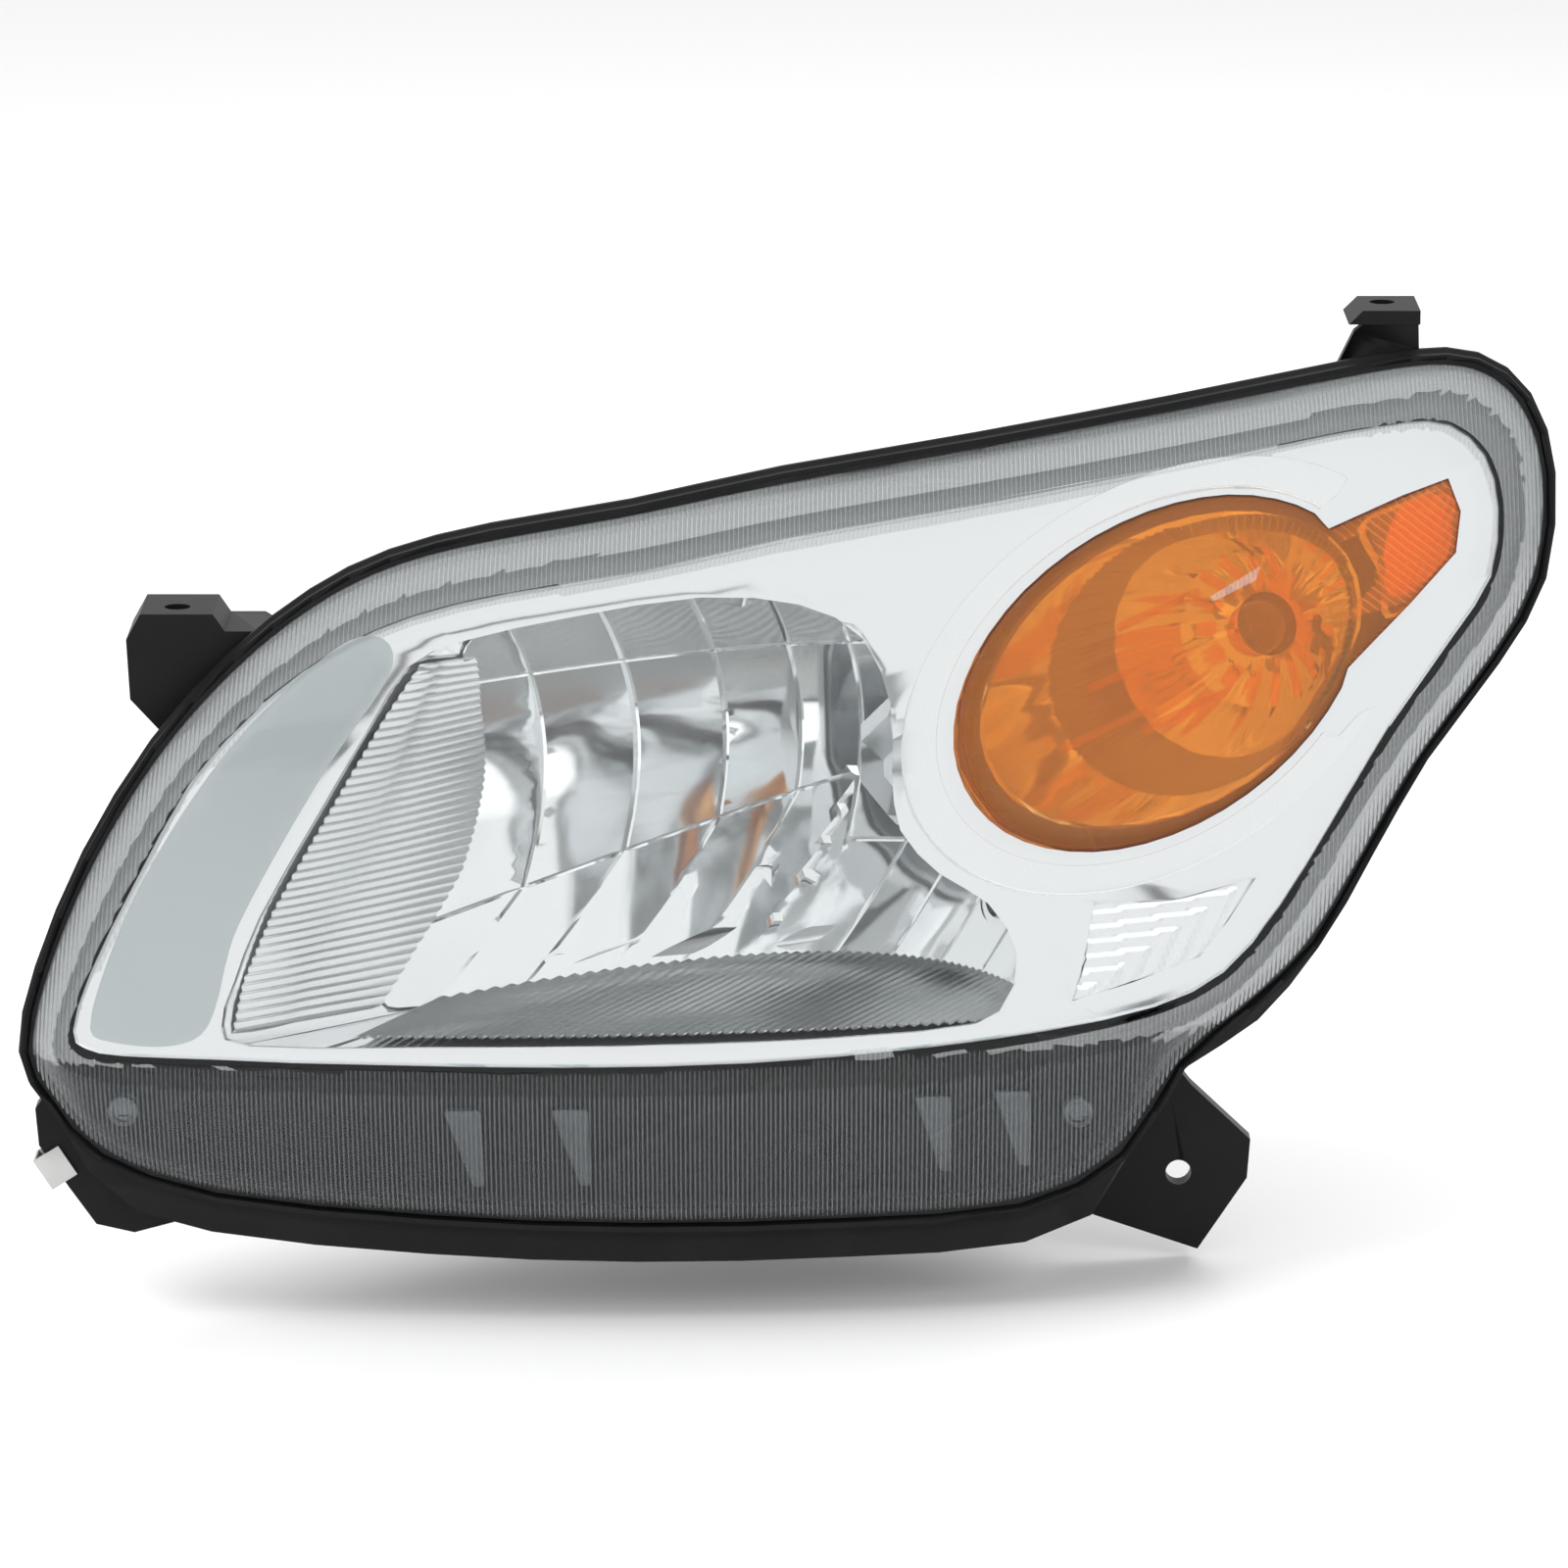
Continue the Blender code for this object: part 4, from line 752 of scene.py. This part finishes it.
def buildRibs():
    # ribbed side of the reflector, from its front rim back to the paraboloid
    rows = [(-76, -174, -147), (-60, -174, -145), (-38, -170, -141), (-8, -161, -139), (20, -153, -138),
            (38, -147, -136)]
    ribs = {"pitch": 2.9, "deep": 0.9, "clear": 1.0, "bend": 0.42, "columns": 14}

    def edges(z):
        for (z0, f0, b0), (z1, f1, b1) in zip(rows, rows[1:]):
            if z0 <= z <= z1:
                t = (z - z0) / (z1 - z0)
                return f0 + (f1 - f0) * t, b0 + (b1 - b0) * t
        return rows[-1][1:]

    verts, faces = [], []
    count = int((rows[-1][0] - rows[0][0]) / ribs["pitch"] * 4)
    n = ribs["columns"] + 1
    for i in range(count + 1):
        z = rows[0][0] + ribs["pitch"] * i / 4
        frontX, backX = edges(min(z, rows[-1][0]))
        rim = (onFace(frontX, z, 17.5) - home) / mm
        back = Vector((backX, paraboloid(backX, z) - 1.5, z))
        wave = (0.0, 0.7, 1.0, 0.35)[i % 4] * ribs["deep"]
        for k in range(n):
            share = k / ribs["columns"]
            p = rim.lerp(back, share)
            hollow = 2.2 * math.sin(math.pi * min(share / ribs["bend"], 1.0)) if share < ribs["bend"] else 0.0
            verts.append(at(p.x + ribs["clear"] + wave + hollow * 0.4, p.y, z))
    for i in range(count):
        for k in range(n - 1):
            a = i * n + k
            faces.append((a, a + 1, a + n + 1, a + n))
    obj = meshOf("reflectorRibs", verts, faces)
    if sum(f.normal.x * f.area for f in obj.data.polygons) < 0:
        obj.data.flip_normals()
    applied(obj, "SOLIDIFY", thickness=0.6 * mm, offset=-1)
    settle(obj, darkRib, "reflector", "chrome_reflector", 25)


def buildFloor():
    # fluted floor of the reflector, bounded at the back by the paraboloid
    flute = {"pitch": 3.2, "deep": 1.0, "z": -77.4, "fromX": -136.0, "toX": 51.0, "rows": 10}
    verts, faces = [], []
    count = int((flute["toX"] - flute["fromX"]) / flute["pitch"] * 4)
    n = flute["rows"] + 1
    for i in range(count + 1):
        x = flute["fromX"] + flute["pitch"] * i / 4
        rim = (onFace(x, -79, 18) - home) / mm
        back = paraboloid(x, flute["z"]) - facets["lift"]
        wave = (0.0, 0.7, 1.0, 0.35)[i % 4] * flute["deep"]
        for k in range(n):
            share = k / flute["rows"]
            verts.append(at(x, rim.y + (back - rim.y) * share, flute["z"] + wave))
    for i in range(count):
        for k in range(n - 1):
            a = i * n + k
            faces.append((a, a + n, a + n + 1, a + 1))
    obj = meshOf("reflectorFloor", verts, faces)
    if sum(f.normal.z * f.area for f in obj.data.polygons) < 0:
        obj.data.flip_normals()
    applied(obj, "SOLIDIFY", thickness=0.6 * mm, offset=-1)
    settle(obj, floorFlute, "reflector", "chrome_reflector", 25)


refined("main_reflector", "reflectorShell", chrome, "chrome_reflector", 0, 32)
buildFacets()
buildRibs()
buildFloor()
print("main reflector")


# bulb shield, faceted like a cut stone
def buildShield():
    shield = {"r": 25.0, "rim": 129.0, "front": 110.6, "mid": 117.0, "corner": 0.74, "table": 0.30}
    obj = mergedCopy("bulb_shield", "bulbShield")
    applied(obj, "BEVEL", width=0.25 * mm, segments=2, limit_method="ANGLE", angle_limit=math.radians(35))
    settle(obj, shieldGrey, "reflector", "grey_shield", 12)
    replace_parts(obj, "bulb_shield")
    # the cut facets lie on the cap's front
    verts = [at(bulb["x"], shield["front"], bulb["z"])]
    rings = []
    for r, y, turn in ((shield["table"] * shield["r"], shield["front"], 0.0),
                       (shield["corner"] * shield["r"] + 0.8, shield["mid"] - 1.9, 0.0),
                       (shield["r"] + 1.3, shield["rim"] - 2.0, 0.0)):
        ring = []
        for k in range(8):
            a = math.pi * (k + 0.5) / 4 + turn
            ring.append(len(verts))
            verts.append(at(bulb["x"] + r * math.cos(a), y, bulb["z"] + r * math.sin(a)))
        rings.append(ring)
    faces = [tuple(rings[0])]
    for inner, outer in zip(rings, rings[1:]):
        faces += [(inner[k], outer[k], outer[(k + 1) % 8], inner[(k + 1) % 8]) for k in range(8)]
    cap = meshOf("shieldFacets", verts[1:], [tuple(i - 1 for i in f) for f in faces])
    activate(cap)
    bpy.ops.object.mode_set(mode="EDIT")
    bpy.ops.mesh.select_all(action="SELECT")
    bpy.ops.mesh.normals_make_consistent(inside=False)
    bpy.ops.object.mode_set(mode="OBJECT")
    if sum(f.normal.y * f.area for f in cap.data.polygons) > 0:
        cap.data.flip_normals()
    applied(cap, "SOLIDIFY", thickness=0.5 * mm, offset=-1)
    applied(cap, "BEVEL", width=0.35 * mm, segments=2, limit_method="ANGLE", angle_limit=math.radians(8))
    settle(cap, shieldGrey, "reflector", "grey_shield", 6)


buildShield()
print("bulb shield")

# turn signal: cup, dome, pins; side marker
cup = {"r": 39.5, "sectors": 16, "ribs": 120, "lift": 0.7}


def treeOf(node):
    mesh = nodes[node].data
    return BVHTree.FromPolygons([v.co.copy() for v in mesh.vertices],
                                [tuple(p.vertices) for p in mesh.polygons])


def buildCup():
    tree = treeOf("turn_reflector")
    refined("turn_reflector", "turnCupShell", chrome, "chrome_reflector", 0, 32)

    def depthAt(x, z):
        hit = tree.ray_cast(at(x, 60, z), Vector((0, 1, 0)))
        return (hit[0] - home).y / mm if hit[0] is not None else None

    verts, faces = [], []
    rings = []
    count = cup["ribs"] * 3
    radii = [12.5, 16, 20, 24, 28, 32, 36, 39.2, 41.0, 42.6, 44.2]
    for j, r in enumerate(radii):
        ring = []
        for i in range(count):
            a = 2 * math.pi * i / count
            x, z = turnSignal["cupX"] + r * math.cos(a), turnSignal["cupZ"] + r * math.sin(a)
            y = depthAt(x, z)
            if y is None:
                y = (verts[rings[-1][i]] - home).y / mm - 6
            if r < cup["r"]:
                share = (a * cup["sectors"] / (2 * math.pi)) % 1.0
                s = 2 * share - 1
                y -= cup["lift"] + 1.3 * (1 - s * s) * min(1.0, (r - 12.5) / 14) * (0.6 + 0.4 * (j % 2))
            else:
                y -= cup["lift"] + (0.0, 1.6, 0.3)[i % 3]
            ring.append(len(verts))
            verts.append(at(x, y, z))
        rings.append(ring)
    for inner, outer in zip(rings, rings[1:]):
        for i in range(count):
            faces.append((inner[i], outer[i], outer[(i + 1) % count], inner[(i + 1) % count]))
    obj = meshOf("turnCupFacets", verts, faces)
    if sum(f.normal.y * f.area for f in obj.data.polygons) > 0:
        obj.data.flip_normals()
    applied(obj, "SOLIDIFY", thickness=0.4 * mm, offset=-1)
    settle(obj, chrome, "lamp_body", "chrome_reflector", 22)
    # the cup's ribbed outer wall takes the dark grey copy of the chrome, which is painted shade
    obj.data.materials.append(cupRibPaintedShade.mat)
    for f in obj.data.polygons:
        p = (f.center - home) / mm
        reach = math.hypot(p.x - turnSignal["cupX"], p.z - turnSignal["cupZ"])
        f.material_index = 1 if reach > cup["r"] - 0.6 else 0


def buildDome():
    obj = mergedCopy("amber_inner_lens", "amberLens")
    settle(obj, amberClear, "lamp_body", "amber_plastic", 40)
    obj.data.materials.append(amberWing.mat)
    for f in obj.data.polygons:
        p = (f.center - home) / mm
        reach = math.hypot((p.x - turnSignal["x"]) / turnSignal["rx"],
                           (p.z - turnSignal["z"]) / turnSignal["rz"])
        f.material_index = 1 if reach > 1.0 and p.x > turnSignal["x"] + 20 and p.z > 18 else 0
    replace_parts(obj, "amber_inner_lens")


def buildPins():
    # slim moulded pins that run back from the dome
    pins = {"r": 1.5, "length": 62.0, "places": [(52, 44), (50, 26), (48, 8), (68, 12)]}
    for k, (x, z) in enumerate(pins["places"]):
        start = onFace(x, z, 8.6)
        end = start + Vector((0, pins["length"] * mm, 0))
        bpy.ops.mesh.primitive_uv_sphere_add(segments=16, ring_count=10, radius=pins["r"] * mm,
                                             location=(0, 0, 0))
        pin = bpy.context.object
        pin.name = f"domePin{k + 1}"
        pin.rotation_euler = (math.radians(90), 0, 0)
        bpy.ops.object.transform_apply(location=False, rotation=True, scale=False)
        for v in pin.data.vertices:
            v.co += end if v.co.y > 0 else start
        settle(pin, amberClear, "lamp_body", "amber_plastic", 40)


def buildReflex():
    # reflex block of the side marker, a field of small pyramids behind the wing
    reflex = {"outline": [(112, 72), (124, 76), (128, 66), (129, 56), (123, 46), (116, 50)],
              "pitch": 2.2, "deep": 1.1}
    loop = curvePoints(reflex["outline"], 2)

    def lift(x, z):
        i, j = round(x / (reflex["pitch"] / 2)), round(z / (reflex["pitch"] / 2))
        bump = reflex["deep"] if (i % 2 == 0 and j % 2 == 0) else 0.0
        return onFace(x, z, 10.6 + bump)

    obj = skin("reflexBlock", loop, [], reflex["pitch"] / 2, lift, 0.6 * mm)
    settle(obj, reflexAmber, "lamp_body", "amber_plastic", 10)


buildCup()
buildDome()
buildPins()
buildReflex()
refined("marker_reflector", "markerCup", chrome, "chrome_reflector", 0, 32)
print("turn signal and side marker")


# fluted panel below the turn signal, with nested chevron flutes
def buildChevrons():
    panel = {"pitch": 4.6, "deep": 1.5, "corner": (108, -36), "side": (104, -60), "depth": 8.6}
    loop = shrunk(curvePoints(chevron, 1.5), 3.4)
    corner, side = Vector(panel["corner"]), Vector(panel["side"])
    run = (side - corner).normalized()
    across = Vector((-run.y, run.x))

    def lift(x, z):
        p = Vector((x, z))
        top = corner.y - z - 0.10 * (corner.x - x)
        edge = abs((p - corner).dot(across)) * 0.9
        value = min(top, edge) / panel["pitch"]
        share = value - math.floor(value)
        return onFace(x, z, panel["depth"] - panel["deep"] * (1 - abs(2 * share - 1)))

    obj = skin("chevronFlutes", loop, [], 0.9, lift, 0.5 * mm)
    settle(obj, whiteFlute, "lamp_body", "fluted_panel", 20)
    refined("fluted_panel", "flutedPanelBack", whiteFlute, "fluted_panel", 0, 32)


buildChevrons()
print("chevron panel")


# clear lugs and bosses moulded with the lens
def buildLugs():
    lug = {"places": [-108, -72, 50, 77], "wide": 13.0, "top": -97.0, "foot": -128.0, "proud": 3.4}
    for k, u in enumerate(lug["places"]):
        bpy.ops.mesh.primitive_cube_add(size=1, location=(0, 0, 0))
        block = bpy.context.object
        block.name = f"lensLug{k + 1}"
        half = lug["wide"] / 2
        for v in block.data.vertices:
            high = v.co.z > 0
            z = lug["top"] if high else lug["foot"]
            share = (-90 - z) / 52
            w = face(u, -90) + 22 * share ** 0.8
            lean = 0.0 if high else 5.0
            du = half * (1.0 if high else 0.35) * (1 if v.co.x > 0 else -1)
            dw = -lug["proud"] * (1.0 if high else 0.6) if v.co.y < 0 else 1.5
            v.co = fromLens(u + du + lean, w + dw, z)
        applied(block, "BEVEL", width=1.2 * mm, segments=3, limit_method="ANGLE",
                angle_limit=math.radians(30))
        settle(block, clearLug, "lamp_body", "clear_lens", 35)
    boss = {"places": [(-222, -99), (100, -108)], "r": 5.2, "long": 7.0}
    for k, (u, z) in enumerate(boss["places"]):
        share = (-90 - z) / 52
        w = face(u, -90) + 22 * share ** 0.8
        bpy.ops.mesh.primitive_cylinder_add(vertices=32, radius=boss["r"] * mm, depth=boss["long"] * mm)
        stud = bpy.context.object
        stud.name = f"lensBoss{k + 1}"
        bpy.ops.object.mode_set(mode="EDIT")
        bpy.ops.mesh.select_mode(type="FACE")
        bpy.ops.mesh.select_all(action="DESELECT")
        bpy.ops.object.mode_set(mode="OBJECT")
        for f in stud.data.polygons:
            f.select = f.normal.z > 0.9
        bpy.ops.object.mode_set(mode="EDIT")
        bpy.ops.mesh.inset(thickness=1.8 * mm)
        bpy.ops.mesh.extrude_region_move(TRANSFORM_OT_translate={"value": (0, 0, -2.5 * mm)})
        bpy.ops.object.mode_set(mode="OBJECT")
        toward = (fromLens(0, -1, 0) - fromLens(0, 0, 0)).normalized()
        stud.rotation_euler = toward.to_track_quat("Z", "Y").to_euler()
        stud.location = fromLens(u, w + 1.0, z)
        bpy.ops.object.transform_apply(location=True, rotation=True, scale=True)
        applied(stud, "BEVEL", width=0.5 * mm, segments=2, limit_method="ANGLE", angle_limit=math.radians(40))
        settle(stud, clearLug, "lamp_body", "clear_lens", 35)


buildLugs()
print("lens lugs")

# the other pieces keep their shape, with softened edges and their finish
plainPieces = [
    ("lens_seal", "lensSeal", sealBlack, "butyl_seal", 0),
    ("housing", "housingShell", backPlastic, "black_plastic", 0),
    ("bulb_glass", "headlampBulb", bulbClear, "bulb_glass", 0),
    ("bulb_base", "bulbBase", steel, "spring_steel", 0.0002),
    ("bulb_clip", "bulbClip", steel, "spring_steel", 0),
    ("shield_screw", "shieldScrew", steel, "spring_steel", 0.0002),
    ("turn_bulb", "turnBulb", bulbAmber, "amber_bulb_glass", 0),
    ("marker_bulb", "markerBulb", bulbClear, "bulb_glass", 0),
    ("position_bulb", "positionBulb", bulbClear, "bulb_glass", 0),
    ("turn_socket", "turnSocket", greyPlastic, "grey_plastic", 0.0004),
    ("marker_socket", "markerSocket", greyPlastic, "grey_plastic", 0.0003),
    ("position_socket", "positionSocket", greyPlastic, "grey_plastic", 0.0003),
    ("turn_o_ring", "turnORing", rubber, "rubber", 0),
    ("marker_o_ring", "markerORing", rubber, "rubber", 0),
    ("ball_clip_inboard", "ballClipInboard", nylon, "white_nylon", 0.0003),
    ("ball_clip_outboard", "ballClipOutboard", nylon, "white_nylon", 0.0003),
    ("ball_clip_aim", "ballClipAim", nylon, "white_nylon", 0.0003),
    ("pivot_stud_inboard", "pivotStudInboard", nylon, "white_nylon", 0.0002),
    ("pivot_stud_outboard", "pivotStudOutboard", nylon, "white_nylon", 0.0002),
    ("aim_screw", "aimScrew", nylon, "white_nylon", 0.0002),
    ("aim_gear", "aimGear", nylon, "white_nylon", 0.0002),
    ("aim_driver", "aimDriver", nylon, "white_nylon", 0.0002),
    ("vent_cap_lower", "ventCapLower", rubber, "rubber", 0.0004),
    ("vent_cap_side", "ventCapSide", rubber, "rubber", 0.0004),
    ("bracket_clip", "bracketClip", steel, "spring_steel", 0.0002),
]
for node, name, finish, slotName, bevel in plainPieces:
    refined(node, name, finish, slotName, bevel, 32)


def buildBoot():
    # ribbed rubber boot: a collar and a neck, spun from one profile
    profile = [(38.7, 194), (41.2, 194), (41.2, 196), (40.4, 197), (41.2, 198), (41.2, 204), (39.6, 206.6),
               (36.5, 208.0), (33.5, 206.2), (31.0, 204.4), (28.0, 205.2), (26.0, 208.0), (23.5, 209.4),
               (21.0, 208.2), (19.6, 207.0), (18.6, 208.5), (18.4, 211.2), (16.2, 211.6), (15.4, 210.6),
               (15.4, 206.0), (18.0, 204.4), (21.4, 206.0), (23.6, 207.2), (25.4, 205.4), (28.0, 202.8),
               (31.4, 202.2), (34.6, 204.2), (36.4, 205.4), (38.4, 204.0), (38.7, 203.0)]
    mesh = bpy.data.meshes.new("bulbBoot")
    mesh.from_pydata([at(bulb["x"] + r, y, bulb["z"]) for r, y in profile],
                     [(i, (i + 1) % len(profile)) for i in range(len(profile))], [])
    boot = bpy.data.objects.new("bulbBoot", mesh)
    bpy.context.scene.collection.objects.link(boot)
    activate(boot)
    bpy.ops.object.mode_set(mode="EDIT")
    bpy.ops.mesh.select_all(action="SELECT")
    bpy.ops.mesh.spin(steps=72, angle=2 * math.pi, center=at(bulb["x"], 0, bulb["z"]), axis=(0, 1, 0))
    bpy.ops.mesh.select_all(action="SELECT")
    bpy.ops.mesh.remove_doubles(threshold=0.00002)
    bpy.ops.mesh.normals_make_consistent(inside=False)
    bpy.ops.object.mode_set(mode="OBJECT")
    applied(boot, "SUBSURF", levels=1, render_levels=1)
    activate(boot)
    bpy.ops.object.shade_smooth_by_angle(angle=math.radians(60))
    boot.data.materials.append(rubber.mat)
    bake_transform(boot)
    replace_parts(boot, "boot")


buildBoot()
print("back of the lamp")
